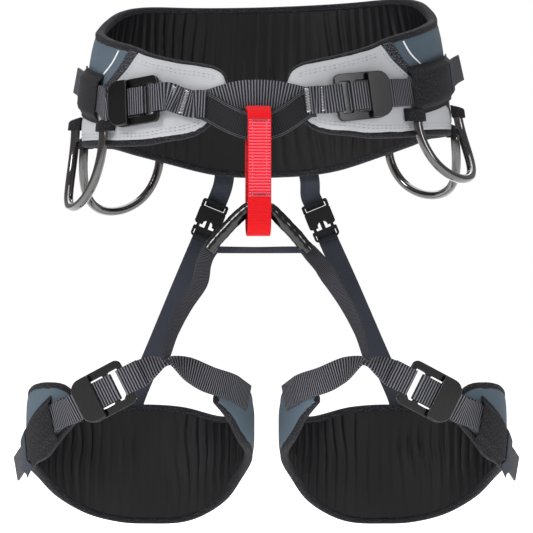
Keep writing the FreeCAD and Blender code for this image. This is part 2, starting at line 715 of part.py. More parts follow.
def leg_strap_parts(side, name):
    """Front strap, riser, buckle, adjusting strap and keeper of one leg loop."""
    base = leg_buckle_frame(side)
    half = buckle_length / 2.0
    save(placed(buckle_frame_plate(), *base), "leg_buckle_frame_" + name)
    save(placed(buckle_slider_plate(), *base), "leg_buckle_slider_" + name)
    surface = leg_foam_edge + leg_foam_crown + layer_gap + shell_thickness
    up = base[2] if base[2].z > 0 else base[2] * -1

    def at(x, y, z):
        """A point given for the left leg and mirrored for the right one."""
        return Vector(side * x, y, z)

    level = Vector(0, 0, 1)
    front = [(leg_place(side, 290, -221, surface + 1.15), level),
             (leg_place(side, 300, -215.5, surface + 1.15), level),
             (leg_place(side, 308, -211, surface + 1.2), level),
             (at(43, -69, -205), Vector(side * -0.4, 0.15, 0.9)),
             (at(58, -80, -197), Vector(side * -0.3, 0.55, 0.6)),
             (at(73, -87, -191), Vector(0, 1, 0.12)),
             (at(83, -88.5, -194), Vector(side * 0.2, 0.7, 0.6))]
    for p in wrap_path(base, -half - 8, -half - 1.5, -half + 4.0, 1):
        front.append((p, up))
    front.append((local_point(base, -half - 7, buckle_rise + 3.6), up))
    front.append((local_point(base, -half - 12, buckle_rise + 1.6), up))
    save(ribbon(front, webbing_width, webbing_thickness, 3), "leg_strap_" + name)

    top_x, top_z = (31.9, -111.2) if side > 0 else (-43.3, -113.0)
    riser = [(Vector(top_x, front_y, top_z), Vector(0.8, 0.45, 0)),
             (Vector(top_x * 0.5 + side * 0.5 * 49.0, -117.0, -121), Vector(0.8, 0.45, 0)),
             (at(49, -111.5, -134), Vector(0.8, -side * 0.3, 0.0)),
             (at(60.5, -103, -152), Vector(0.75, -side * 0.5, 0)),
             (at(69, -95, -171), Vector(0.5, -side * 0.8, 0)),
             (at(73.5, -88.5, -188.2), Vector(0.25, -side * 1.0, 0))]
    save(ribbon(riser, riser_width, 2.2, 5), "leg_riser_" + name)

    low = surface + 0.3 + webbing_thickness / 2.0
    high = low + webbing_thickness + 0.25

    def on_pad(turn, offset):
        """A point of the adjusting strap on the outer pad."""
        return leg_place(side, turn, -229.0 - (turn - 38) * 0.92, offset)

    tail = [(on_pad(turn, low), level) for turn in steps(66, 38, 4)]
    tail.append((local_point(base, half + 9.5, -3.6), up))
    for p in wrap_path(base, half + 1, -half + 16.5, -half + 12.5, -1, 1.6):
        tail.append((p, up))
    over_bar = buckle_rise + buckle_plate + 0.35 + webbing_thickness / 2.0
    for s, dip in ((-13.0, 0.05), (-5.0, 0.1), (3.0, 0.5), (9.5, 3.9)):
        tail.append((local_point(base, half + s, over_bar - dip), up))
    for turn in steps(42, 80, 5):
        tail.append((on_pad(turn, high), level))
    tail.append((on_pad(85, high + 2.0), level))
    tail.append((on_pad(90, high + 5.0), level))
    save(ribbon(tail, webbing_width, webbing_thickness, 2), "leg_tail_" + name)

    def raised(v, base_offset):
        """Offset that lifts over the strap and comes down to the pad at its edges."""
        lift = high + webbing_thickness / 2.0 + 0.35 - surface - 0.25
        share = max(0.0, min(1.0, (0.5 - abs(v - 0.5) - 0.055) / 0.14))
        return base_offset + lift * share

    def keeper_place(u, v, offset):
        """Elastic keeper over the adjusting strap."""
        turn = 68.0 + u * 9.0
        z = -229.0 - (turn - 38) * 0.92 + (v - 0.5) * 34.0
        return leg_place(side, turn + (v - 0.5) * 6.0, z, offset)

    across = [0, 0.055, 0.125, 0.195, 0.35, 0.5, 0.65, 0.805, 0.875, 0.945, 1]
    keeper = layer(keeper_place, steps(0, 1, 3), across,
                   lambda u, v: raised(v, surface + 0.25), lambda u, v: raised(v, surface + 1.3))
    save(keeper, "leg_keeper_" + name)

    def sleeve_place(u, v, offset):
        """Dark sleeve over the adjusting strap between the buckle and the keeper."""
        turn = 44.0 + u * 22.5
        z = -229.0 - (turn - 38) * 0.92 + (v - 0.5) * 34.0
        return leg_place(side, turn + (v - 0.5) * 6.0, z, offset)

    sleeve = layer(sleeve_place, steps(0, 1, 8), across,
                   lambda u, v: raised(v, surface + 0.25), lambda u, v: raised(v, surface + 1.2))
    save(sleeve, "leg_sleeve_" + name)


def gear_loop(side, first, last, heights, drop, reach):
    """A gear loop hanging from two points of the belt's outside."""
    points = []
    for k in range(9):
        share = k / 8.0
        bow = math.sin(math.pi * share)
        travel = 0.5 - 0.5 * math.cos(math.pi * share)
        turn = first + (last - first) * travel
        height = heights[0] + (heights[1] - heights[0]) * travel
        top = waist_place(waist_front_turn + side * turn, height, 12.6 + reach * bow)
        points.append(Vector(top.x, top.y, top.z - drop * bow ** 0.75))
    return tube(points, gear_loop_radius)


def gear_loops():
    """Two gear loops on each side of the belt."""
    save(gear_loop(1, 53, 86, (-14.5, -9.5), 48, 16), "gear_loop_front_left")
    save(gear_loop(-1, 53, 88, (-14.5, -9.5), 60, 6), "gear_loop_front_right")
    save(gear_loop(1, 103, 141, (-22.5, -24.5), 45, 6), "gear_loop_rear_left")
    save(gear_loop(-1, 103, 141, (-22.5, -24.5), 50, 5), "gear_loop_rear_right")


waist_padding()
save(front_panel(1), "waist_panel_left")
save(front_panel(-1), "waist_panel_right")
save(seam_tape(1), "waist_tape_left")
save(seam_tape(-1), "waist_tape_right")
waist_strap_parts(1)
waist_strap_parts(-1)
tie_in_parts()
belay_parts()
leg_bridge_parts()
rear_riser_parts(1, "left")
rear_riser_parts(-1, "right")
leg_padding(1, "left")
leg_padding(-1, "right")
leg_strap_parts(1, "left")
leg_strap_parts(-1, "right")
gear_loops()
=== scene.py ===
"""Climbing harness: padded belt, leg loops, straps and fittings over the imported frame."""

import logging
import math
from abc import ABC, abstractmethod
from dataclasses import dataclass, field
from enum import Enum
from typing import Callable

import bmesh
import bpy
from mathutils import Matrix, Vector, noise


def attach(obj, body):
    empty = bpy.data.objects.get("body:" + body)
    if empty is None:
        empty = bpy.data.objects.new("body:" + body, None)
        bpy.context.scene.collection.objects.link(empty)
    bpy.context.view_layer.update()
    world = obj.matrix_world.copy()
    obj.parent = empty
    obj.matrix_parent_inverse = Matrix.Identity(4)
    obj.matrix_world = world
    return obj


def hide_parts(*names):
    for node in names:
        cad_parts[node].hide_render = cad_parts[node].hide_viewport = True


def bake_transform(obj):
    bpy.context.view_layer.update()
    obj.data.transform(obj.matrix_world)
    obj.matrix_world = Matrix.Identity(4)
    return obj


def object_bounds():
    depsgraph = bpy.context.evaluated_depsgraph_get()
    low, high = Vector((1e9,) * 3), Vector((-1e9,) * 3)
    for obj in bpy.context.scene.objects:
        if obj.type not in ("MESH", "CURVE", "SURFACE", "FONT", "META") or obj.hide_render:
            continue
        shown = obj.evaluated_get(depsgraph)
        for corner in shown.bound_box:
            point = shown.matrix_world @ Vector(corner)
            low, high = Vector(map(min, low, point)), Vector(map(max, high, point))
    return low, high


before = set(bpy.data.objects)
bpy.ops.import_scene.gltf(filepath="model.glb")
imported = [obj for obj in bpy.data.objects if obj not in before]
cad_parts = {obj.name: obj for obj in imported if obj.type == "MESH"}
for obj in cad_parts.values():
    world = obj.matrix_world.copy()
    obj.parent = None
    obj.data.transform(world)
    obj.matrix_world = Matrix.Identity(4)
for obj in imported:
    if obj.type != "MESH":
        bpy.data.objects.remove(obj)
cad_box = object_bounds()

LOG = logging.getLogger("harness")
MM = 0.001
MERGE_DISTANCE = 1e-6

# Millimetres, apart from the rows, which are shares of a buckle cover's height.
WEBBING_WIDTH = 20.0
WEBBING_THICKNESS = 1.5
WEBBING_GAP = 0.35
BUCKLE_HALF = 21.0
BUCKLE_RISE = 2.6
BUCKLE_PLATE = 2.6
COVER_ROWS = [0, 0.03, 0.055, 0.09, 0.125, 0.16, 0.195, 0.27, 0.35, 0.42, 0.5,
              0.58, 0.65, 0.73, 0.805, 0.84, 0.875, 0.91, 0.945, 0.97, 1]

Table = list[tuple[float, float]]
Place = Callable[[float, float], Vector]
Station = tuple[Vector, Vector]


class Side(Enum):
    """The wearer's sides, with the sign of their X."""

    LEFT = 1
    RIGHT = -1

    @property
    def label(self) -> str:
        """The side's name as node names spell it."""
        return self.name.lower()


# ---------------------------------------------------------------- curves and shapes


def smooth(table: Table, x: float) -> float:
    """Read a table of (x, value) pairs with smooth curves between them.

    Args:
        table: Pairs in rising order of x.
        x: Where to read.

    Returns:
        The value at x, held level past both ends.
    """
    if x <= table[0][0]:
        return table[0][1]
    if x >= table[-1][0]:
        return table[-1][1]
    k = 0
    while table[k + 1][0] < x:
        k += 1
    x0, y0 = table[k]
    x1, y1 = table[k + 1]
    slope = (y1 - y0) / (x1 - x0)
    start, finish = slope, slope
    if k > 0:
        before = (y0 - table[k - 1][1]) / (x0 - table[k - 1][0])
        start = (before + slope) / 2 if before * slope > 0 else 0.0
    if k + 2 < len(table):
        after = (table[k + 2][1] - y1) / (table[k + 2][0] - x1)
        finish = (after + slope) / 2 if after * slope > 0 else 0.0
    t = (x - x0) / (x1 - x0)
    h = x1 - x0
    low = (2 * t ** 3 - 3 * t ** 2 + 1) * y0 + (t ** 3 - 2 * t ** 2 + t) * h * start
    return low + (3 * t ** 2 - 2 * t ** 3) * y1 + (t ** 3 - t ** 2) * h * finish


def steps(low: float, high: float, count: int) -> list[float]:
    """Evenly spaced values from low to high, both included.

    Args:
        low: First value.
        high: Last value.
        count: Number of gaps between the values.

    Returns:
        count + 1 values.
    """
    return [low + (high - low) * i / count for i in range(count + 1)]


def crown(v: float, edge: float, rise: float) -> float:
    """Thickness of a pad at share v across it: thin at the edges, full in the middle."""
    return edge + rise * (1 - (2 * v - 1) ** 4)


def ripple(x: float, y: float, seed: float) -> float:
    """Smooth repeatable noise in -1..1 over two coordinates."""
    return noise.noise(Vector((x, y, seed)))


@dataclass(frozen=True)
class LocalFrame:
    """A place with its own axes: x along, y up and z out."""

    origin: Vector
    along: Vector
    up: Vector
    out: Vector

    def point(self, s: float, h: float, u: float = 0.0) -> Vector:
        """The point s along, u up and h out from the origin."""
        return self.origin + self.along * s + self.up * u + self.out * h

    def dropped(self, degrees: float) -> "LocalFrame":
        """The frame turned in its own plane so that its x axis drops by the angle.

        Args:
            degrees: How far the x axis drops.

        Returns:
            The turned frame, at the same origin.
        """
        angle = math.radians(degrees)
        along = (self.along * math.cos(angle) - self.up * math.sin(angle)).normalized()
        return LocalFrame(self.origin, along, self.out.cross(along).normalized(), self.out)


class PadForm(ABC):
    """What the forms of the belt and of the leg loops share."""

    foam_edge: float
    foam_crown: float
    shell: float

    @abstractmethod
    def place(self, turn: float, z: float, offset: float) -> Vector:
        """The point at that turn, height and distance out from the inside."""

    @abstractmethod
    def height(self, turn: float, v: float) -> float:
        """Height at the share v of the way up."""

    def at(self, turn: float, v: float, offset: float) -> Vector:
        """The point at that turn, share of the height and offset."""
        return self.place(turn, self.height(turn, v), offset)

    def foam(self, v: float) -> float:
        """Offset of the foam's outside."""
        return crown(v, self.foam_edge, self.foam_crown)

    def fabric(self, v: float) -> float:
        """Offset of the outside fabric."""
        return self.foam(v) + self.shell


@dataclass(frozen=True)
class BeltShape(PadForm):
    """The waist belt's form in millimetres: turn runs from the front, offset outwards."""

    half_width: float = 133.5
    half_depth: float = 101.0
    flare_side: float = 0.122
    flare_front: float = 0.08
    tilt: float = 0.03
    front_turn: float = -3.0
    inset: float = 1.5
    foam_edge: float = 3.6
    foam_crown: float = 2.9
    shell: float = 0.81
    top: Table = field(default_factory=lambda: [
        (9, 11), (10.5, 21), (13, 26), (18, 29.5), (25, 32.5), (39, 40.5), (45, 45.5), (60, 53),
        (75, 60), (90, 66.5), (100, 74), (112, 83), (125, 87.5), (150, 88.5), (180, 88.5)])
    bottom: Table = field(default_factory=lambda: [
        (9, 0), (11, -8), (14, -15.5), (18, -23), (22, -25.8), (29, -27.5), (37, -29.5),
        (48, -29), (60, -27.5), (90, -25.5), (114, -25), (130, -30.5), (143, -37),
        (160, -46.4), (170, -49), (180, -49.5)])
    strap: Table = field(default_factory=lambda: [
        (9, -2), (16, -1), (27, 0.6), (38, 2.7), (50, 5), (62, 9.5), (75, 15.5), (85, 20),
        (92, 24), (100, 27)])
    panel_rear: Table = field(default_factory=lambda: [
        (0, 91), (0.15, 88), (0.22, 81.5), (0.3, 74), (0.5, 58), (0.75, 47), (1, 42)])

    @property
    def surface(self) -> float:
        """Offset of the outside fabric's face where the pad is fullest."""
        return self.foam_edge + self.foam_crown + self.shell + 0.89

    def place(self, turn: float, z: float, offset: float) -> Vector:
        """The point at that turn, height and distance out from the belt's inside.

        Args:
            turn: Degrees round the form.
            z: Height in millimetres.
            offset: Distance out, in millimetres.

        Returns:
            The point.
        """
        angle = math.radians(turn)
        wide = self.half_width - self.flare_side * z
        deep = self.half_depth - self.flare_front * z
        normal = Vector((deep * math.sin(angle), -wide * math.cos(angle), 0)).normalized()
        x = wide * math.sin(angle) + normal.x * offset
        y = -deep * math.cos(angle) + normal.y * offset
        return Vector((x, y, z + self.tilt * x))

    def edge(self, table: Table, turn: float) -> float:
        """Height of an edge at a turn, alike on both sides of the front centre."""
        return smooth(table, abs((turn - self.front_turn + 180) % 360 - 180))

    def height(self, turn: float, v: float) -> float:
        """Height at the share v of the way up the belt."""
        low = self.edge(self.bottom, turn) + self.inset
        return low + v * (self.edge(self.top, turn) - self.inset - low)

    def strap_point(self, side: Side, d: float, offset: float, rise: float = 0.0) -> Vector:
        """The point of the strap's centre line d degrees from the front centre."""
        return self.place(self.front_turn + side.value * d, smooth(self.strap, d) + rise, offset)

    def flat(self, side: Side, d: float, offset: float) -> Station:
        """A station of a strap that lies flat on the flared belt."""
        across = self.strap_point(side, d, offset, 1) - self.strap_point(side, d, offset, -1)
        return self.strap_point(side, d, offset), across.normalized()

    def frame(self, turn: float, z: float, offset: float) -> LocalFrame:
        """A local frame on the belt with its x axis away from the front centre.

        Args:
            turn: Degrees from the front, positive to the wearer's left.
            z: Height in the belt's own level.
            offset: Distance out from the belt's inside.

        Returns:
            The frame.
        """
        origin = self.place(turn, z, offset)
        sign = 1 if turn > 0 else -1
        along = (self.place(turn + sign * 0.5, z, offset) - origin).normalized()
        rise = (self.place(turn, z + 1, offset) - origin).normalized()
        out = along.cross(rise).normalized() * sign
        return LocalFrame(origin, along, out.cross(along), out)


@dataclass(frozen=True)
class LegShape(PadForm):
    """A leg loop's form in millimetres: turn runs from the front over the outer side."""

    side: Side
    centre_x: float = 97.0
    half_width: float = 81.5
    half_depth: float = 75.5
    inset: float = 1.5
    foam_edge: float = 3.2
    foam_crown: float = 2.3
    shell: float = 0.81
    top: Table = field(default_factory=lambda: [
        (30, -228), (33, -218), (38, -211), (47, -207.6), (64, -209), (81, -215), (100, -226),
        (125, -237.5), (143, -239.5), (162, -233), (180, -231), (200, -232.5), (228, -239),
        (245, -237.5), (262, -229), (272, -222), (284, -213), (298, -205), (307, -204),
        (312, -209), (315, -218)])
    bottom: Table = field(default_factory=lambda: [
        (30, -234), (37, -243), (45, -253), (54, -264), (70, -271), (90, -277), (108, -286),
        (128, -304), (148, -318.5), (168, -326), (180, -327), (205, -324), (229, -307),
        (247, -286), (270, -268), (293, -253), (305, -236), (315, -224)])

    @property
    def surface(self) -> float:
        """Offset of the outside fabric's face where the pad is fullest."""
        return self.foam_edge + self.foam_crown + self.shell

    def place(self, turn: float, z: float, offset: float) -> Vector:
        """The point at that turn, height and distance out from the loop's inside.

        Args:
            turn: Degrees round the form.
            z: Height in millimetres.
            offset: Distance out, in millimetres.

        Returns:
            The point.
        """
        angle = math.radians(turn)
        normal = Vector((self.half_depth * math.sin(angle),
                         -self.half_width * math.cos(angle), 0)).normalized()
        x = self.centre_x + self.half_width * math.sin(angle) + normal.x * offset
        y = -self.half_depth * math.cos(angle) + normal.y * offset
        return Vector((self.side.value * x, y, z))

    def height(self, turn: float, v: float) -> float:
        """Height at the share v of the way up the loop."""
        low = smooth(self.bottom, turn) + self.inset
        return low + v * (smooth(self.top, turn) - self.inset - low)

    def strap_point(self, turn: float, offset: float) -> Vector:
        """The point of the adjusting strap's centre line on the outer pad."""
        return self.place(turn, -229.0 - (turn - 38) * 0.92, offset)


@dataclass(frozen=True)
class StrapPath:
    """A flat strap's centre line with the direction across it at each station."""

    stations: list[Station]

    def sample(self, fine: int) -> list[tuple[Vector, Vector, Vector]]:
        """Smooth samples along the strap.

        Args:
            fine: Samples between two stations.

        Returns:
            Centre, direction across and direction out of the face for each sample.
        """
        count = len(self.stations)
        centres: list[Vector] = []
        acrosses: list[Vector] = []
        for k in range(count - 1):
            p0 = self.stations[max(k - 1, 0)][0]
            p1, a1 = self.stations[k]
            p2, a2 = self.stations[k + 1]
            p3 = self.stations[min(k + 2, count - 1)][0]
            m1 = (p2 - p0) * 0.5
            m2 = (p3 - p1) * 0.5
            for i in range(fine):
                t = i / fine
                start = p1 * (2 * t ** 3 - 3 * t ** 2 + 1) + m1 * (t ** 3 - 2 * t ** 2 + t)
                centres.append(start + p2 * (3 * t ** 2 - 2 * t ** 3) + m2 * (t ** 3 - t ** 2))
                acrosses.append(a1 * (1 - t) + a2 * t)
        centres.append(self.stations[-1][0])
        acrosses.append(self.stations[-1][1])
        last = len(centres) - 1
        samples = []
        for k in range(last + 1):
            along = (centres[min(k + 1, last)] - centres[max(k - 1, 0)]).normalized()
            normal = along.cross(acrosses[k]).normalized()
            samples.append((centres[k], normal.cross(along), normal))
        return samples


# ---------------------------------------------------------------- mesh workshop


def new_object(name: str, bm: bmesh.types.BMesh, finish: bpy.types.Material) -> bpy.types.Object:
    """Make an object at the origin from a bmesh and give it its finish.

    Args:
        name: Piece name.
        bm: The finished shape, freed here.
        finish: Material of the whole piece.

    Returns:
        The new object.
    """
    mesh = bpy.data.meshes.new(name)
    bm.to_mesh(mesh)
    bm.free()
    for polygon in mesh.polygons:
        polygon.use_smooth = True
    mesh.materials.append(finish)
    obj = bpy.data.objects.new(name, mesh)
    bpy.context.scene.collection.objects.link(obj)
    return obj


def settled(obj: bpy.types.Object) -> bpy.types.Object:
    """Turn an object's live modifiers into its plain mesh.

    Args:
        obj: The object, whose modifiers are used up here.

    Returns:
        The same object.
    """
    graph = bpy.context.evaluated_depsgraph_get()
    mesh = bpy.data.meshes.new_from_object(obj.evaluated_get(graph))
    old = obj.data
    obj.modifiers.clear()
    obj.data = mesh
    bpy.data.meshes.remove(old)
    mesh.name = obj.name
    return obj


def closed_object(name: str, bm: bmesh.types.BMesh,
                  finish: bpy.types.Material) -> bpy.types.Object:
    """Make an object from a surface that runs back into itself, with its seam merged.

    Args:
        name: Piece name.
        bm: The surface, freed here.
        finish: Material.

    Returns:
        The new object.
    """
    bmesh.ops.remove_doubles(bm, verts=bm.verts, dist=MERGE_DISTANCE)
    bmesh.ops.recalc_face_normals(bm, faces=bm.faces)
    return new_object(name, bm, finish)


def thickened(obj: bpy.types.Object, thickness: float, offset: float = 0.0,
              rounding: float = 0.0) -> bpy.types.Object:
    """Give a surface its thickness and, if asked, rounded edges.

    Args:
        obj: The surface.
        thickness: Millimetres.
        offset: 0 to grow to both sides, -1 to grow inwards.
        rounding: Edge rounding in millimetres.

    Returns:
        The same object with its modifiers applied.
    """
    solid = obj.modifiers.new("thickness", "SOLIDIFY")
    solid.thickness = thickness * MM
    solid.offset = offset
    if rounding:
        bevel = obj.modifiers.new("edges", "BEVEL")
        bevel.width = rounding * MM
        bevel.segments = 2
        bevel.limit_method = "ANGLE"
        bevel.angle_limit = math.radians(60)
    return settled(obj)


def cloth_grid(us: list[float], vs: list[float], place: Place) -> bmesh.types.BMesh:
    """A grid laid on a surface, with UVs in metres along and across.

    Args:
        us: Stations along.
        vs: Stations across.
        place: Where (u, v) lies, in millimetres.

    Returns:
        The bmesh, in metres.
    """
    bm = bmesh.new()
    uv = bm.loops.layers.uv.new("UVMap")
    bmesh.ops.create_grid(bm, x_segments=len(us) - 1, y_segments=len(vs) - 1, size=0.5)
    middle = vs[len(vs) // 2]
    lengths = [0.0]
    for a, b in zip(us, us[1:]):
        lengths.append(lengths[-1] + (place(b, middle) - place(a, middle)).length * MM)
    centre = us[len(us) // 2]
    widths = [0.0]
    for a, b in zip(vs, vs[1:]):
        widths.append(widths[-1] + (place(centre, b) - place(centre, a)).length * MM)
    index = {}
    for vert in bm.verts:
        i = round((vert.co.x + 0.5) * (len(us) - 1))
        j = round((vert.co.y + 0.5) * (len(vs) - 1))
        index[vert] = (i, j)
    for face in bm.faces:
        for loop in face.loops:
            i, j = index[loop.vert]
            loop[uv].uv = (lengths[i], widths[j])
    for vert, (i, j) in index.items():
        vert.co = place(us[i], vs[j]) * MM
    return bm


def thin_piece(name: str, us: list[float], vs: list[float], place: Place, thickness: float,
               finish: bpy.types.Material, rounding: float = 0.25) -> bpy.types.Object:
    """A fabric or webbing piece of even thickness with rounded edges.

    Args:
        name: Piece name.
        us: Stations along.
        vs: Stations across.
        place: Its middle surface, in millimetres.
        thickness: Millimetres.
        finish: Material.
        rounding: Edge rounding in millimetres.

    Returns:
        The finished object.
    """
    bm = cloth_grid(us, vs, place)
    bmesh.ops.recalc_face_normals(bm, faces=bm.faces)
    return thickened(new_object(name, bm, finish), thickness, rounding=rounding)


def pad_piece(name: str, us: list[float], vs: list[float], outer: Place, inner: Place,
              finish: bpy.types.Material) -> bpy.types.Object:
    """A closed pad between an outer and an inner surface.

    Args:
        name: Piece name.
        us: Stations along.
        vs: Stations across.
        outer: Outside surface, in millimetres.
        inner: Inside surface, in millimetres.
        finish: Material.

    Returns:
        The finished object.
    """
    bm = cloth_grid(us, vs, outer)
    back = cloth_grid(us, vs, inner)
    spare = bpy.data.meshes.new("spare")
    back.to_mesh(spare)
    back.free()
    bm.from_mesh(spare)
    bpy.data.meshes.remove(spare)
    rims = [edge for edge in bm.edges if edge.is_boundary]
    bmesh.ops.bridge_loops(bm, edges=rims)
    bmesh.ops.recalc_face_normals(bm, faces=bm.faces)
    return new_object(name, bm, finish)


def strap_piece(name: str, stations: list[Station], width: float, thickness: float,
                finish: bpy.types.Material, fine: int = 4, across: int = 6) -> bpy.types.Object:
    """A strap of webbing or elastic along its stations.

    Args:
        name: Piece name.
        stations: Centres and directions across, in millimetres.
        width: Strap width in millimetres.
        thickness: Strap thickness in millimetres.
        finish: Material.
        fine: Samples between two stations.
        across: Faces across the strap.

    Returns:
        The finished object.
    """
    samples = StrapPath(stations).sample(fine)

    def place(u: float, v: float) -> Vector:
        """A point of the strap's middle surface."""
        centre, side, _ = samples[round(u)]
        return centre + side * (width * v)

    us = [float(k) for k in range(len(samples))]
    return thin_piece(name, us, steps(-0.5, 0.5, across), place, thickness, finish,
                      rounding=min(0.4, thickness * 0.3))


def thread_piece(name: str, runs: list[list[Vector]], radius: float,
                 finish: bpy.types.Material, sides: int = 2) -> bpy.types.Object:
    """Round threads, cords or piping along lists of points, joined as one piece.

    Args:
        name: Piece name.
        runs: Points of each thread, in millimetres.
        radius: Thread radius in millimetres.
        finish: Material.
        sides: Bevel resolution of the round section.

    Returns:
        The finished object.
    """
    curve = bpy.data.curves.new(name, "CURVE")
    curve.dimensions = "3D"
    curve.bevel_depth = radius * MM
    curve.bevel_resolution = sides
    curve.use_fill_caps = True
    curve.resolution_u = 3
    for run in runs:
        spline = curve.splines.new("POLY")
        spline.points.add(len(run) - 1)
        for point, place in zip(spline.points, run):
            point.co = (*(place * MM), 1.0)
    holder = bpy.data.objects.new(name + "_curve", curve)
    bpy.context.scene.collection.objects.link(holder)
    graph = bpy.context.evaluated_depsgraph_get()
    mesh = bpy.data.meshes.new_from_object(holder.evaluated_get(graph))
    bpy.data.objects.remove(holder)
    bpy.data.curves.remove(curve)
    bm = bmesh.new()
    bm.from_mesh(mesh)
    bpy.data.meshes.remove(mesh)
    return closed_object(name, bm, finish)


def rim_piece(name: str, line: list[tuple[Vector, Vector, Vector]], inner: float, outer: float,
              lap: float, thickness: float, finish: bpy.types.Material) -> bpy.types.Object:
    """Binding tape folded over a closed rim.

    Args:
        name: Piece name.
        line: Rim point, direction out of the face and direction off the edge at each station.
        inner: Distance from the rim point to the inside face, in millimetres.
        outer: Distance from the rim point to the outside face, in millimetres.
        lap: How far the tape laps down each face, in millimetres.
        thickness: Tape thickness in millimetres.
        finish: Material.

    Returns:
        The finished object.
    """
    profile = [(-inner, -lap), (-inner, -lap * 0.5), (-inner, -0.4), (-inner * 0.7, 0.6),
               ((outer - inner) * 0.5, 1.0), (outer * 0.7, 0.6), (outer, -0.4),
               (outer, -lap * 0.5), (outer, -lap)]

    def place(u: float, v: float) -> Vector:
        """A point of the folded tape.

        Args:
            u: Place along the surface.
            v: Place across the surface.

        Returns:
            The point.
        """
        point, out, off = line[round(u) % len(line)]
        k = min(int(v), len(profile) - 2)
        t = v - k
        a = profile[k][0] * (1 - t) + profile[k + 1][0] * t
        b = profile[k][1] * (1 - t) + profile[k + 1][1] * t
        return point + out * a + off * b

    us = [float(k) for k in range(len(line) + 1)]
    vs = [float(k) for k in range(len(profile))]
    return thickened(closed_object(name, cloth_grid(us, vs, place), finish), thickness)


def tube_piece(name: str, line: list[Vector], radius: float, wall: float,
               finish: bpy.types.Material) -> bpy.types.Object:
    """A hollow sleeve, slightly puckered along its length.

    Args:
        name: Piece name.
        line: Points of the sleeve's middle line, in millimetres.
        radius: Outside radius in millimetres.
        wall: Wall thickness in millimetres.
        finish: Its material.

    Returns:
        The sleeve, closed, with open mouths.
    """
    stations = [(point, Vector((0, 1, 0))) for point in line]
    path = StrapPath(stations).sample(8)
    count = len(path)

    def place(u: float, v: float) -> Vector:
        """A point of the wall's outside, u round the sleeve and v along it.

        Args:
            u: Place along the surface.
            v: Place across the surface.

        Returns:
            The point.
        """
        index = int(round(v * (count - 1)))
        centre, side, normal = path[index]
        pucker = 0.1 * math.sin(index * 0.55) + 0.07 * math.sin(index * 1.3 + 1.0)
        size = radius - 0.35 + pucker
        turn = 2 * math.pi * u
        return centre + side * (math.cos(turn) * size) + normal * (math.sin(turn) * size)

    bm = cloth_grid(steps(0, 1, 28), steps(0, 1, count - 1), place)
    return thickened(closed_object(name, bm, finish), wall, offset=-1.0)


# ---------------------------------------------------------------- finishes


def paint(red: int, green: int, blue: int) -> tuple[float, float, float, float]:
    """A colour given as it looks on a screen, turned into linear light.

    Args:
        red: 0 to 255.
        green: 0 to 255.
        blue: 0 to 255.

    Returns:
        Red, green, blue and a full alpha.
    """
    linear = [((c / 255 + 0.055) / 1.055) ** 2.4 if c > 10 else c / 255 / 12.92
              for c in (red, green, blue)]
    return (linear[0], linear[1], linear[2], 1.0)


class Graph:
    """A small helper that adds and joins shader nodes."""

    def __init__(self, tree: bpy.types.NodeTree) -> None:
        """Hold the tree that nodes are added to."""
        self.tree = tree

    def add(self, kind: str, inputs: dict | None = None, **settings: object) -> bpy.types.Node:
        """Add a node.

        Args:
            kind: Node type name.
            inputs: Values or sockets for its inputs, by name or number.
            **settings: Attributes to set on the node first.

        Returns:
            The node.
        """
        node = self.tree.nodes.new(kind)
        for key, value in settings.items():
            setattr(node, key, value)
        for key, value in (inputs or {}).items():
            if isinstance(value, bpy.types.NodeSocket):
                self.tree.links.new(value, node.inputs[key])
            else:
                node.inputs[key].default_value = value
        return node

    def math(self, operation: str, a: object, b: object = 0.0,
             c: object = 0.0) -> bpy.types.NodeSocket:
        """The output of a Math node."""
        node = self.add("ShaderNodeMath", {0: a, 1: b, 2: c}, operation=operation)
        return node.outputs[0]

    def mix(self, share: object, a: object, b: object) -> bpy.types.NodeSocket:
        """The colour between a and b."""
        node = self.add("ShaderNodeMix", {0: share, 6: a, 7: b}, data_type="RGBA")
        return node.outputs[2]

    def span(self, value: object, low: float, high: float, to_low: float,
             to_high: float) -> bpy.types.NodeSocket:
        """A value mapped and clamped from one range to another."""
        node = self.add("ShaderNodeMapRange", {0: value, 1: low, 2: high, 3: to_low, 4: to_high})
        return node.outputs[0]

    def noise(self, vector: object, scale: float, detail: float = 3.0) -> bpy.types.NodeSocket:
        """Noise in 0..1."""
        node = self.add("ShaderNodeTexNoise", {"Vector": vector, "Scale": scale, "Detail": detail})
        return node.outputs[0]


def make_group(name: str, inputs: list[tuple[str, str]],
               outputs: list[str]) -> tuple[bpy.types.NodeTree, Graph, object, object]:
    """Start a shader node group.

    Args:
        name: Group name.
        inputs: Socket names and types.
        outputs: Names of float outputs.

    Returns:
        The group, its graph helper, its input node and its output node.
    """
    tree = bpy.data.node_groups.new(name, "ShaderNodeTree")
    for label, kind in inputs:
        tree.interface.new_socket(label, in_out="INPUT", socket_type=kind)
    for label in outputs:
        tree.interface.new_socket(label, in_out="OUTPUT", socket_type="NodeSocketFloat")
    graph = Graph(tree)
    return tree, graph, graph.add("NodeGroupInput"), graph.add("NodeGroupOutput")


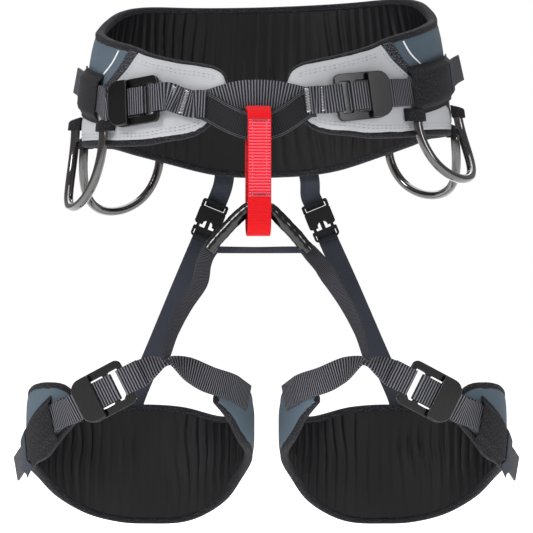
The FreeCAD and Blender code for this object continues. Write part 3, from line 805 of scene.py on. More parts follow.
def ribbed_weave_group() -> bpy.types.NodeTree:
    """Webbing: ribs across the strap, each broken by fine yarns along it.

    Returns:
        The group, with outputs Height and Rib.
    """
    tree, g, inside, outside = make_group(
        "ribbed_weave", [("UV", "NodeSocketVector"), ("Rib", "NodeSocketFloat"),
                         ("Yarn", "NodeSocketFloat")], ["Height", "Rib"])
    split = g.add("ShaderNodeSeparateXYZ", {0: inside.outputs["UV"]})
    wobble = g.noise(inside.outputs["UV"], 260.0, 2.0)
    shift = g.math("MULTIPLY", g.math("SUBTRACT", wobble, 0.5), 1.5)
    along = g.math("ADD", g.math("MULTIPLY", split.outputs[0], inside.outputs["Rib"]), shift)
    rib = g.math("MULTIPLY_ADD", g.math("SINE", along), 0.5, 0.5)
    across = g.math("MULTIPLY", split.outputs[1], inside.outputs["Yarn"])
    shifted = g.math("SINE", g.math("ADD", across, g.math("MULTIPLY", rib, 2.0)))
    yarn = g.math("MULTIPLY_ADD", shifted, 0.5, 0.5)
    height = g.math("MULTIPLY_ADD", yarn, 0.35, g.math("MULTIPLY", rib, 0.65))
    g.tree.links.new(height, outside.inputs["Height"])
    g.tree.links.new(rib, outside.inputs["Rib"])
    return tree


def plain_weave_group() -> bpy.types.NodeTree:
    """Cloth: a plain weave of two crossing yarns.

    Returns:
        The group, with output Height.
    """
    tree, g, inside, outside = make_group(
        "plain_weave", [("UV", "NodeSocketVector"), ("Yarn", "NodeSocketFloat")], ["Height"])
    split = g.add("ShaderNodeSeparateXYZ", {0: inside.outputs["UV"]})
    a = g.math("SINE", g.math("MULTIPLY", split.outputs[0], inside.outputs["Yarn"]))
    b = g.math("SINE", g.math("MULTIPLY", split.outputs[1], inside.outputs["Yarn"]))
    height = g.math("MULTIPLY_ADD", g.math("MULTIPLY", a, b), 0.5, 0.5)
    g.tree.links.new(height, outside.inputs["Height"])
    return tree


def wear_group() -> bpy.types.NodeTree:
    """Handling marks: cloudy dirt and fine scuffs on Object coordinates.

    Returns:
        The group, with outputs Cloud and Scuff.
    """
    tree, g, inside, outside = make_group(
        "wear", [("Vector", "NodeSocketVector"), ("Scale", "NodeSocketFloat")], ["Cloud", "Scuff"])
    moved = g.add("ShaderNodeVectorMath",
                  {0: inside.outputs["Vector"], 3: inside.outputs["Scale"]},
                  operation="SCALE").outputs[0]
    cloud = g.span(g.noise(moved, 12.0, 4.0), 0.35, 0.7, 0.0, 1.0)
    scuff = g.span(g.noise(moved, 220.0, 5.0), 0.55, 0.72, 0.0, 1.0)
    g.tree.links.new(cloud, outside.inputs["Cloud"])
    g.tree.links.new(scuff, outside.inputs["Scuff"])
    return tree


class Groups:
    """The node groups that several finishes share."""

    ribbed: bpy.types.NodeTree
    weave: bpy.types.NodeTree
    wear: bpy.types.NodeTree

    @classmethod
    def build(cls) -> None:
        """Make the shared groups once."""
        cls.ribbed = ribbed_weave_group()
        cls.weave = plain_weave_group()
        cls.wear = wear_group()


def start_material(name: str) -> tuple[bpy.types.Material, Graph, bpy.types.Node]:
    """Start a material.

    Args:
        name: Material name.

    Returns:
        The material, its graph helper and its Principled node.
    """
    material = bpy.data.materials.new("finish_" + name)
    material.use_nodes = True
    graph = Graph(material.node_tree)
    shader = next(n for n in material.node_tree.nodes if n.type == "BSDF_PRINCIPLED")
    return material, graph, shader


def set_sockets(shader: bpy.types.Node, values: dict[str, float]) -> None:
    """Set several of a shader's own sockets."""
    for key, value in values.items():
        shader.inputs[key].default_value = value


def use_group(g: Graph, tree: bpy.types.NodeTree, inputs: dict) -> bpy.types.Node:
    """Place a shared group in a material."""
    return g.add("ShaderNodeGroup", inputs, node_tree=tree)


@dataclass(frozen=True)
class WebbingFinish:
    """Woven strap with ribs across it."""

    name: str
    ground: tuple[float, float, float, float]
    rib: tuple[float, float, float, float]
    rib_pitch: float = 1.9
    rib_share: float = 0.8
    roughness: float = 0.62
    sheen: float = 0.02
    specular: float = 0.12
    depth: float = 0.35

    def build(self) -> bpy.types.Material:
        """Make the material.

        Returns:
            The material.
        """
        material, g, shader = start_material(self.name)
        coords = g.add("ShaderNodeTexCoord")
        uv = coords.outputs["UV"]
        weave = use_group(g, Groups.ribbed, {"UV": uv, "Rib": 2 * math.pi / (self.rib_pitch * MM),
                                             "Yarn": 2 * math.pi / (0.9 * MM)})
        wear = use_group(g, Groups.wear, {"Vector": coords.outputs["Object"], "Scale": 1.0})
        share = g.math("MULTIPLY", g.math("POWER", weave.outputs["Rib"], 2.2), self.rib_share)
        colour = g.mix(share, self.ground, self.rib)
        dark = tuple(c * 0.6 for c in self.ground[:3]) + (1.0,)
        colour = g.mix(g.math("MULTIPLY", wear.outputs["Cloud"], 0.35), colour, dark)
        g.tree.links.new(colour, shader.inputs["Base Color"])
        bump = g.add("ShaderNodeBump", {"Strength": 0.8, "Distance": self.depth * MM,
                                        "Height": weave.outputs["Height"]})
        g.tree.links.new(bump.outputs[0], shader.inputs["Normal"])
        set_sockets(shader, {"Roughness": self.roughness, "Specular IOR Level": self.specular,
                             "Sheen Weight": self.sheen, "Sheen Roughness": 0.4})
        return material


@dataclass(frozen=True)
class ClothFinish:
    """Plain woven cloth, with soft shade changes."""

    name: str
    colour: tuple[float, float, float, float]
    shade: tuple[float, float, float, float]
    yarn_pitch: float = 0.8
    roughness: float = 0.8
    sheen: float = 0.03
    specular: float = 0.12
    depth: float = 0.12
    speckle: float = 0.0
    cloud_scale: float = 1.0

    def build(self) -> bpy.types.Material:
        """Make the material.

        Returns:
            The material.
        """
        material, g, shader = start_material(self.name)
        coords = g.add("ShaderNodeTexCoord")
        weave = use_group(g, Groups.weave, {"UV": coords.outputs["UV"],
                                            "Yarn": 2 * math.pi / (self.yarn_pitch * MM)})
        wear = use_group(g, Groups.wear, {"Vector": coords.outputs["Object"],
                                          "Scale": self.cloud_scale})
        colour = g.mix(g.math("MULTIPLY", wear.outputs["Cloud"], 0.8), self.colour, self.shade)
        if self.speckle:
            flecks = g.noise(coords.outputs["UV"], 900.0, 2.0)
            fleck = g.span(flecks, 0.52, 0.66, 0.0, self.speckle)
            colour = g.mix(fleck, colour, paint(150, 150, 158))
        colour = g.mix(g.math("MULTIPLY", weave.outputs["Height"], 0.15), colour, self.shade)
        g.tree.links.new(colour, shader.inputs["Base Color"])
        bump = g.add("ShaderNodeBump", {"Strength": 0.7, "Distance": self.depth * MM,
                                        "Height": weave.outputs["Height"]})
        g.tree.links.new(bump.outputs[0], shader.inputs["Normal"])
        set_sockets(shader, {"Roughness": self.roughness, "Specular IOR Level": self.specular,
                             "Sheen Weight": self.sheen})
        return material


@dataclass(frozen=True)
class MouldedFinish:
    """Smooth plastic or anodised metal with light handling marks."""

    name: str
    colour: tuple[float, float, float, float]
    worn: tuple[float, float, float, float]
    roughness: float = 0.25
    worn_roughness: float = 0.5
    metallic: float = 0.0
    coat: float = 0.0
    grain: float = 0.03
    ior: float = 1.5
    specular: float = 0.3

    def build(self) -> bpy.types.Material:
        """Make the material.

        Returns:
            The material.
        """
        material, g, shader = start_material(self.name)
        coords = g.add("ShaderNodeTexCoord")
        wear = use_group(g, Groups.wear, {"Vector": coords.outputs["Object"], "Scale": 2.0})
        marks = g.math("MULTIPLY", wear.outputs["Scuff"], 0.35)
        g.tree.links.new(g.mix(marks, self.colour, self.worn), shader.inputs["Base Color"])
        rough = g.span(wear.outputs["Cloud"], 0.0, 1.0, self.roughness, self.worn_roughness)
        g.tree.links.new(rough, shader.inputs["Roughness"])
        grain = g.noise(coords.outputs["Object"], 3000.0, 2.0)
        bump = g.add("ShaderNodeBump",
                     {"Strength": 0.25, "Distance": self.grain * MM, "Height": grain})
        g.tree.links.new(bump.outputs[0], shader.inputs["Normal"])
        set_sockets(shader, {"Metallic": self.metallic, "Coat Weight": self.coat,
                             "Coat Roughness": 0.08, "IOR": self.ior,
                             "Specular IOR Level": self.specular})
        return material


class Finish(Enum):
    """Every finish on the harness."""

    LINING = ClothFinish("lining_mesh", paint(13, 13, 16), paint(5, 5, 7), yarn_pitch=1.6,
                         roughness=0.38, sheen=0.0, specular=0.22, depth=0.2)
    SLATE = ClothFinish("slate_fabric", paint(86, 100, 111), paint(66, 78, 88), yarn_pitch=0.7,
                        roughness=0.75)
    DARK_CLOTH = ClothFinish("dark_fabric", paint(24, 24, 28), paint(13, 13, 16), yarn_pitch=0.7,
                             roughness=0.7, speckle=0.12)
    GREY = ClothFinish("grey_fabric", paint(178, 179, 182), paint(158, 160, 164), yarn_pitch=0.6,
                       roughness=0.7, depth=0.08)
    TAPE = ClothFinish("seam_tape", paint(38, 38, 43), paint(20, 20, 24), yarn_pitch=1.1,
                       speckle=0.5)
    BINDING = ClothFinish("binding_tape", paint(28, 28, 32), paint(14, 14, 17), yarn_pitch=1.0,
                          speckle=0.16, depth=0.2)
    STRIPED = WebbingFinish("striped_webbing", paint(20, 20, 24), paint(128, 128, 136),
                            rib_pitch=2.1, rib_share=0.85)
    DARK_WEBBING = WebbingFinish("dark_webbing", paint(24, 24, 27), paint(52, 52, 57),
                                 rib_share=0.5)
    RISER = WebbingFinish("riser_webbing", paint(26, 26, 31), paint(96, 96, 104), rib_pitch=1.1,
                          rib_share=0.55)
    RED = WebbingFinish("red_webbing", paint(214, 10, 20), paint(226, 30, 44), rib_pitch=1.3,
                        rib_share=0.35, roughness=0.55)
    RED_OVERLAP = WebbingFinish("red_overlap_webbing", paint(212, 22, 38), paint(240, 112, 128),
                                rib_pitch=2.2, rib_share=0.75, roughness=0.55)
    ELASTIC = WebbingFinish("elastic", paint(50, 53, 62), paint(74, 78, 90), rib_pitch=0.9,
                            rib_share=0.5, depth=0.2)
    SLEEVE = MouldedFinish("sleeve_plastic", paint(12, 12, 14), paint(28, 28, 31), roughness=0.18,
                           worn_roughness=0.3, coat=0.6)
    TUBE = MouldedFinish("loop_tube", paint(36, 33, 32), paint(60, 56, 54), roughness=0.08,
                         worn_roughness=0.16, coat=1.0, ior=1.8, metallic=0.15, specular=0.5)
    PLASTIC = MouldedFinish("buckle_plastic", paint(6, 6, 7), paint(18, 18, 20), roughness=0.3,
                            worn_roughness=0.42, coat=0.2)
    ALLOY = MouldedFinish("buckle_alloy", paint(6, 6, 7), paint(24, 24, 26), roughness=0.24,
                          worn_roughness=0.36, metallic=0.1, coat=0.3)
    THREAD = ClothFinish("pale_thread", paint(222, 222, 225), paint(205, 205, 208), depth=0.02)
    PANEL_THREAD = ClothFinish("panel_thread", paint(150, 151, 155), paint(132, 133, 138),
                               depth=0.02)
    EDGE_THREAD = WebbingFinish("edge_thread", paint(92, 92, 98), paint(140, 140, 146),
                                rib_pitch=0.6)
    PINK_THREAD = WebbingFinish("red_thread", paint(240, 120, 135), paint(250, 160, 170),
                                rib_pitch=0.6)
    PIPING = ClothFinish("reflective_piping", paint(236, 237, 238), paint(214, 216, 218),
                         roughness=0.35, sheen=0.0, depth=0.05)

    @property
    def material(self) -> bpy.types.Material:
        """The finish's material, made the first time it is asked for."""
        found = bpy.data.materials.get("finish_" + self.value.name)
        return found or self.value.build()


def dress_node(node: str, finish: Finish) -> None:
    """Give a carried-over CAD node its finish.

    Args:
        node: CAD node name.
        finish: The finish to give.
    """
    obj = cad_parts[node]
    obj.data.materials.clear()
    obj.data.materials.append(finish.material)
    LOG.info("dressed %s in %s", node, finish.value.name)


def stand_in(obj: bpy.types.Object, body: str, slot: str, *nodes: str) -> bpy.types.Object:
    """Put a new piece on its body, in place of the CAD nodes that it stands for.

    Args:
        obj: The piece.
        body: CAD body that it rides on.
        slot: Material slot of the record; not used.
        *nodes: CAD nodes that it replaces.

    Returns:
        The piece.
    """
    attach(obj, body)
    if nodes:
        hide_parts(*nodes)
    LOG.info("piece %s on %s, %d faces", obj.name, body, len(obj.data.polygons))
    return obj


# ---------------------------------------------------------------- the harness


def rim_line(points: list[Vector], outs: list[Vector]) -> list[tuple[Vector, Vector, Vector]]:
    """Give each rim point its direction out of the face and off the edge.

    Args:
        points: A closed run of rim points, the padded face on the run's right.
        outs: Direction out of the face at each point.

    Returns:
        Point, direction out and direction off the edge at each station.
    """
    count = len(points)
    line = []
    for k in range(count):
        along = (points[(k + 1) % count] - points[k - 1]).normalized()
        off = outs[k].cross(along).normalized()
        line.append((points[k], outs[k], off))
    return line


def raised(v: float, base: float, lift: float) -> float:
    """Offset of a cover that lies flat at its edges and lifts over a strap in its middle.

    Args:
        v: Share across the cover.
        base: Offset at the edges, in millimetres.
        lift: How much more the offset is over the strap.

    Returns:
        The offset in millimetres.
    """
    share = max(0.0, min(1.0, (0.5 - abs(v - 0.5) - 0.055) / 0.14))
    soft = share * share * (3 - 2 * share)
    return base + lift * soft


def wrap_path(base: LocalFrame, start: float, near: float, far: float, way: int,
              dip: float = 0.0) -> list[Vector]:
    """Points of webbing that comes in under a bar, turns round it and goes back over it.

    Args:
        base: The buckle's frame.
        start: Where the run starts along the buckle.
        near: The bar's near edge.
        far: The bar's far edge, which the webbing turns round.
        way: 1 if the turn is towards +x, -1 if towards -x.
        dip: How far the start lies below the rest of the lower run.

    Returns:
        The points in order.
    """
    low = BUCKLE_RISE - WEBBING_GAP - WEBBING_THICKNESS / 2
    high = BUCKLE_RISE + BUCKLE_PLATE + WEBBING_GAP + WEBBING_THICKNESS / 2
    middle = (low + high) / 2
    radius = (high - low) / 2
    path = [base.point(start, low - dip), base.point((start + near) / 2, low),
            base.point(near, low)]
    for turn in range(0, 181, 30):
        angle = math.radians(turn)
        path.append(base.point(far + way * radius * math.sin(angle) * 0.55,
                               middle - radius * math.cos(angle)))
    path.append(base.point(near, high))
    return path


def bartack(centre: Vector, across: Vector, along: Vector, width: float, reach: float,
            count: int) -> list[Vector]:
    """A zigzag of close stitches across a strap.

    Args:
        centre: Middle of the bartack.
        across: Direction across the strap.
        along: Direction along the strap.
        width: Length of the bartack across the strap, in millimetres.
        reach: Half length of one stitch along the strap, in millimetres.
        count: Number of stitches.

    Returns:
        The thread's points.
    """
    points = []
    for k in range(count + 1):
        share = k / count - 0.5
        sign = 1 if k % 2 else -1
        points.append(centre + across * (width * share) + along * (reach * sign))
    return points


def stitches(line: list[Vector], length: float = 2.6, gap: float = 1.2) -> list[list[Vector]]:
    """Cut a line into separate stitches.

    Args:
        line: Points along a seam, in millimetres.
        length: Stitch length.
        gap: Gap between stitches.

    Returns:
        A short run of points for each stitch.
    """
    runs: list[list[Vector]] = []
    travelled = 0.0
    current: list[Vector] = []
    for a, b in zip(line, line[1:]):
        span = (b - a).length
        pieces = max(1, int(span / 0.6))
        for k in range(pieces):
            point = a.lerp(b, k / pieces)
            if travelled % (length + gap) < length:
                current.append(point)
            elif len(current) > 1:
                runs.append([current[0], current[-1]])
                current = []
            else:
                current = []
            travelled += span / pieces
    if len(current) > 1:
        runs.append([current[0], current[-1]])
    return runs


@dataclass
class WaistBelt:
    """The padded belt: core, shell, lining, front panels, seams, piping and binding."""

    shape: BeltShape
    body: str = "waist"
    columns: int = 150
    rows: int = 12
    wrinkle: float = 2.0

    def turns(self) -> list[float]:
        """Degrees from the front centre, close together at both rounded ends."""
        ends = [9, 9.3, 9.7, 10.1, 10.6, 11.3, 12, 13, 14, 15.5, 17, 19.5]
        return ends + steps(22, 338, self.columns) + [360 - d for d in reversed(ends)]

    def turn_of(self, d: float) -> float:
        """The belt's own turn, d degrees round from the front centre by the wearer's right."""
        return self.shape.front_turn - d

    def build_core(self) -> None:
        """Foam core, closed all round."""
        shape = self.shape
        core = pad_piece("waist_foam_core", self.turns(), steps(0, 1, 6),
                         lambda u, v: shape.at(self.turn_of(u), v, shape.foam(v) - 0.05),
                         lambda u, v: shape.at(self.turn_of(u), v, 0.0),
                         Finish.DARK_CLOTH.material)
        stand_in(core, self.body, "foam", "waist_foam")

    def build_shell(self) -> None:
        """Slate outside fabric with soft puckers along both edges."""
        shape = self.shape

        def outside(u: float, v: float) -> Vector:
            """The fabric's middle surface.

            Args:
                u: Place along the surface.
                v: Place across the surface.

            Returns:
                The point.
            """
            edge = (2 * v - 1) ** 4
            pucker = 0.35 * ripple(u * 0.35, v * 2, 1.0) + 0.25 * edge * math.sin(u * 1.9)
            return shape.at(self.turn_of(u), v, shape.fabric(v) - 0.3 + pucker * 0.6)

        shell = thin_piece("waist_shell_cloth", self.turns(), steps(0, 1, self.rows), outside, 0.6,
                           Finish.SLATE.material)
        stand_in(shell, self.body, "slate_fabric", "waist_shell")

    def build_lining(self) -> None:
        """Black inside mesh drawn into upright wrinkles."""
        shape = self.shape

        def inside(u: float, v: float) -> Vector:
            """The lining's middle surface, wrinkled.

            Args:
                u: Place along the surface.
                v: Place across the surface.

            Returns:
                The point.
            """
            drift = 2.2 * ripple(u * 0.06, v * 2.4, 3.0)
            fold = math.sin((u + drift) * 1.45) + 0.55 * math.sin((u + 1.6 * drift) * 2.7 + 1.3)
            fade = math.sin(math.pi * min(1.0, max(0.0, v))) ** 0.35
            depth = self.wrinkle * fade * (0.6 + 0.5 * ripple(u * 0.12, v * 3.1, 7.0))
            lift = depth * max(0.0, 0.42 + 0.5 * fold) ** 1.8
            return shape.at(self.turn_of(u), v, -0.35 - lift)

        us = steps(9.4, 350.6, 560)
        lining = thin_piece("waist_lining_mesh", us, steps(0.005, 0.995, 30), inside, 0.4,
                            Finish.LINING.material)
        stand_in(lining, self.body, "lining_mesh", "waist_lining")

    def seam_turn(self, side: Side, v: float, extra: float) -> float:
        """Turn of the front panel's rear seam at share v of the height."""
        return self.shape.front_turn + side.value * (smooth(self.shape.panel_rear, v) + extra)

    def build_front(self, side: Side) -> None:
        """Light panel, seam tape, piping and stitching on one side.

        Args:
            side: The wearer's side.
        """
        shape = self.shape
        name = side.label

        def panel_place(u: float, v: float) -> Vector:
            """The panel's middle surface; u runs from the tip to the seam.

            Args:
                u: Place along the surface.
                v: Place across the surface.

            Returns:
                The point.
            """
            d = 9.2 + u * (smooth(shape.panel_rear, v) - 9.2)
            turn = shape.front_turn + side.value * d
            puff = 0.25 * ripple(d * 0.2, v * 2.5, 11.0 + side.value)
            return shape.at(turn, v, shape.fabric(v) + 0.42 + puff * 0.5)

        us = [0, 0.006, 0.014, 0.025, 0.04, 0.06, 0.09, 0.12] + steps(0.15, 1, 44)
        panel = thin_piece("waist_panel_cloth_" + name, us, steps(0.02, 0.98, 14), panel_place,
                           0.55, Finish.GREY.material)
        stand_in(panel, self.body, "grey_fabric", "waist_panel_" + name)

        def tape_place(u: float, v: float) -> Vector:
            """The seam tape's middle surface."""
            return shape.at(self.seam_turn(side, v, 0.6 + 4.2 * u), v, shape.fabric(v) + 0.38)

        tape = thin_piece("waist_seam_tape_" + name, steps(0, 1, 6), steps(0.05, 0.97, 40),
                          tape_place, 0.5, Finish.TAPE.material)
        stand_in(tape, self.body, "seam_tape", "waist_tape_" + name)

        piping = []
        for v in steps(0.44, 0.94, 90):
            wave = 0.55 * math.sin((v - 0.44) * 4 * math.pi)
            extra = 9.6 + 4.4 * (0.94 - v) + wave
            piping.append(shape.at(self.seam_turn(side, v, extra), v, shape.fabric(v) + 0.5))
        bead = thread_piece("waist_piping_" + name, [piping], 0.62, Finish.PIPING.material,
                            sides=3)
        stand_in(bead, self.body, "grey_fabric")

        runs = []
        for inset in (2.2, 4.6):
            upper = [self.edge_point(side, d, 1.0, inset) for d in steps(13, 40.5, 60)]
            lower = [self.edge_point(side, d, 0.0, inset) for d in steps(16, 86, 120)]
            runs += stitches(upper) + stitches(lower)
        seam = [shape.at(self.seam_turn(side, v, -1.4), v, shape.fabric(v) + 0.75)
                for v in steps(0.06, 0.94, 60)]
        runs += stitches(seam)
        thread = thread_piece("waist_panel_stitching_" + name, runs, 0.22,
                              Finish.PANEL_THREAD.material, sides=1)
        stand_in(thread, self.body, "grey_fabric")

    def edge_point(self, side: Side, d: float, v: float, inset: float) -> Vector:
        """A point on the panel's face, near the belt's edge and clear of its binding.

        Args:
            side: Which end of the belt.
            d: Degrees from the front centre.
            v: Which edge: 0 for the bottom, 1 for the top.
            inset: Distance in from the binding, in millimetres.

        Returns:
            The point.
        """
        turn = self.shape.front_turn + side.value * d
        low = self.shape.edge(self.shape.bottom, turn)
        high = self.shape.edge(self.shape.top, turn)
        share = (4.0 + inset) / (high - low)
        share = share if v < 0.5 else 1 - share
        return self.shape.at(turn, share, self.shape.fabric(share) + 0.75)

    def build_binding(self) -> None:
        """Dark tape folded over the belt's whole rim."""
        shape = self.shape
        ds = self.turns()
        points, outs = [], []
        run = [(d, 1.0) for d in reversed(ds)] + [(9.0, 0.7), (9.0, 0.3)]
        run += [(d, 0.0) for d in ds] + [(351.0, 0.3), (351.0, 0.7)]
        for d, v in run:
            turn = self.turn_of(d)
            points.append(shape.at(turn, v, 2.0))
            outs.append((shape.at(turn, v, 3.0) - shape.at(turn, v, 2.0)).normalized())
        line = rim_line(points, outs)
        binding = rim_piece("waist_binding", line, 3.2, 3.5, 3.6, 0.5, Finish.BINDING.material)
        stand_in(binding, self.body, "seam_tape")

    def build_tabs(self, side: Side) -> None:
        """Small sewn tabs that hold the ends of the gear loops' tubes."""
        shape = self.shape
        for label, d, z in (("front_fore", 53.0, -14.5), ("front_aft", 87.0, -9.5),
                            ("rear_fore", 103.0, -22.5), ("rear_aft", 141.0, -24.5)):
            def place(u: float, v: float, d: float = d, z: float = z) -> Vector:
                """A point of the tab; u runs up and v across it.

                Args:
                    u: Place along the surface.
                    v: Place across the surface.
                    d: Degrees from the front centre.
                    z: Height of the lower end, in millimetres.

                Returns:
                    The point.
                """
                top = 1.0 - max(0.0, (u - 0.6) / 0.4) ** 2
                swell = math.sin(math.pi * v) ** 0.6 if 0.0 < v < 1.0 else 0.0
                offset = shape.surface + 0.4 + 9.2 * swell * top
                return shape.place(shape.front_turn + side.value * (d + (v - 0.5) * 8.4),
                                   z - 2.2 + 9.5 * u, offset)

            tab = thin_piece("gear_tab_" + label + "_" + side.label, steps(0, 1, 12),
                             steps(0, 1, 14), place, 0.7, Finish.DARK_CLOTH.material)
            stand_in(tab, self.body, "dark_webbing")

    def build(self) -> None:
        """Build the whole belt."""
        self.build_core()
        self.build_shell()
        self.build_lining()
        for side in Side:
            self.build_front(side)
            self.build_tabs(side)
        self.build_binding()


@dataclass
class WaistStraps:
    """Webbing, sleeves, keepers and buckles on the belt."""

    shape: BeltShape
    body: str = "waist"
    left_turn: float = 29.2
    right_turn: float = -42.4

    def buckle(self, side: Side) -> tuple[float, LocalFrame]:
        """The buckle's turn from the front centre and its frame.

        Args:
            side: The wearer's side.

        Returns:
            The turn and the frame.
        """
        turn = self.left_turn if side is Side.LEFT else self.right_turn
        d = abs(turn - self.shape.front_turn)
        base = self.shape.frame(turn, smooth(self.shape.strap, d), self.shape.surface)
        return d, base.dropped(-5.0)

    def build_webbing(self, side: Side) -> None:
        """Front webbing that turns round the buckle's inner bar and is sewn on itself.

        Args:
            side: The wearer's side.
        """
        shape = self.shape
        d, base = self.buckle(side)
        far = d - 14.5
        up = base.up if base.up.z > 0 else -base.up

        def clear(x: float) -> float:
            """Offset that clears the tie-in straps' ends near the front."""
            return shape.surface + 4.95 - 1.3 * max(0.0, min(1.0, (x - 18) / 6.5))

        stops = [15.0, far] if side is Side.LEFT else [15.0, 17.5, 20.0]
        stations = [shape.flat(side, x, clear(x)) for x in stops]
        wrap = wrap_path(base, -BUCKLE_HALF - 7, -BUCKLE_HALF - 1.5, -BUCKLE_HALF + 4.0, 1)
        lower = StrapPath([*stations, (wrap[0], up)]).sample(8)

        def sewn(reach: float, lift: float) -> tuple[Vector, Vector, Vector]:
            """A point above the lower layer, with the directions across and along it.

            Args:
                reach: Straight distance back to the wrap's start, in millimetres.
                lift: Height above the layer's middle, in millimetres.

            Returns:
                The point, the direction across and the direction along.
            """
            centre, across, normal = min(
                lower, key=lambda item: abs((item[0] - wrap[0]).length - reach))
            out = normal if normal.dot(base.out) > 0 else -normal
            return centre + out * lift, across, across.cross(out).normalized()

        stations += [(p, up) for p in wrap]
        stations.append((base.point(-BUCKLE_HALF - 9, BUCKLE_RISE + 1.9), up))
        stations.append(sewn(8.0, 1.85)[:2])
        webbing = strap_piece("waist_front_webbing_" + side.label, stations, WEBBING_WIDTH,
                              WEBBING_THICKNESS, Finish.STRIPED.material, fine=4)
        stand_in(webbing, self.body, "striped_webbing", "waist_webbing_" + side.label)
        runs = [bartack(*sewn(3.0, 1.85 + 1.2), 17.0, 1.5, 30),
                bartack(*sewn(15.0, 1.2), 17.0, 1.5, 30)]
        tack = thread_piece("waist_bartacks_" + side.label, runs, 0.48, Finish.THREAD.material)
        stand_in(tack, self.body, "grey_fabric")

    def build_tail(self, side: Side) -> None:
        """Adjusting strap from the belt's side through the buckle to its free end.

        Args:
            side: The wearer's side.
        """
        shape = self.shape
        d, base = self.buckle(side)
        up = base.up if base.up.z > 0 else -base.up
        low = shape.surface + 0.4 + WEBBING_THICKNESS / 2
        high = low + WEBBING_THICKNESS + 0.25
        path = [shape.flat(side, x, low) for x in steps(d + 34, d + 18, 4)]
        path.append(shape.flat(side, d + 14, low + 0.45))
        wrap = wrap_path(base, BUCKLE_HALF + 1, -BUCKLE_HALF + 16.5, -BUCKLE_HALF + 12.5, -1, 0.3)
        path += [(p, up) for p in wrap]
        over = BUCKLE_RISE + BUCKLE_PLATE + 0.35 + WEBBING_THICKNESS / 2
        for s, dip in ((-13.0, 0.05), (-5.0, 0.1), (3.0, 0.6), (8.5, 3.0)):
            path.append((base.point(BUCKLE_HALF + s, over - dip), up))
        path += [shape.flat(side, x, high) for x in steps(d + 18, 88, 6)]
        rising = shape.flat(side, 88, high)[1]
        path.append((shape.strap_point(side, 92, high + 3.0, 1.0), rising))
        path.append((shape.strap_point(side, 97, high + 9.5, 2.5), rising))
        tail = strap_piece("waist_adjusting_strap_" + side.label, path, WEBBING_WIDTH,
                           WEBBING_THICKNESS, Finish.STRIPED.material, fine=4)
        stand_in(tail, self.body, "striped_webbing", "waist_tail_" + side.label)

    def build_covers(self, side: Side) -> None:
        """Dark sleeve and elastic keeper over the doubled strap.

        Args:
            side: The wearer's side.
        """
        shape = self.shape
        d0, _ = self.buckle(side)
        low = shape.surface + 0.4 + WEBBING_THICKNESS / 2
        high = low + WEBBING_THICKNESS + 0.25
        lift = high + WEBBING_THICKNESS / 2 + 0.35 - shape.surface - 0.25

        def cover(first: float, last: float, tall: float, extra: float) -> Place:
            """The middle surface of a cover from first to last degrees."""
            def place(u: float, v: float) -> Vector:
                """A point of the cover.

                Args:
                    u: Place along the surface.
                    v: Place across the surface.

                Returns:
                    The point.
                """
                d = first + u * (last - first)
                z = smooth(shape.strap, d) + (v - 0.5) * tall
                fold = 0.3 * math.sin(v * 19 + u * 2.0) * math.sin(math.pi * u) ** 0.5
                offset = raised(v, shape.surface + 0.25 + extra, lift) + max(0.0, fold)
                return shape.place(shape.front_turn + side.value * d, z, offset)
            return place

        sleeve = thin_piece("waist_strap_sleeve_" + side.label, steps(0, 1, 30), COVER_ROWS,
                            cover(d0 + 20.0, 79.0, 37.0, 0.45), 0.8, Finish.DARK_CLOTH.material)
        stand_in(sleeve, self.body, "dark_webbing", "waist_sleeve_" + side.label)
        keeper = thin_piece("waist_strap_keeper_" + side.label, steps(0, 1, 10), COVER_ROWS,
                            cover(80.2, 86.2, 34.0, 0.5), 1.0, Finish.ELASTIC.material)
        stand_in(keeper, self.body, "elastic", "waist_keeper_" + side.label)

    def build(self) -> None:
        """Build both sides and dress their buckles."""
        for side in Side:
            self.build_webbing(side)
            self.build_tail(side)
            self.build_covers(side)
            dress_node("waist_buckle_frame_" + side.label, Finish.ALLOY)
            dress_node("waist_buckle_slider_" + side.label, Finish.ALLOY)


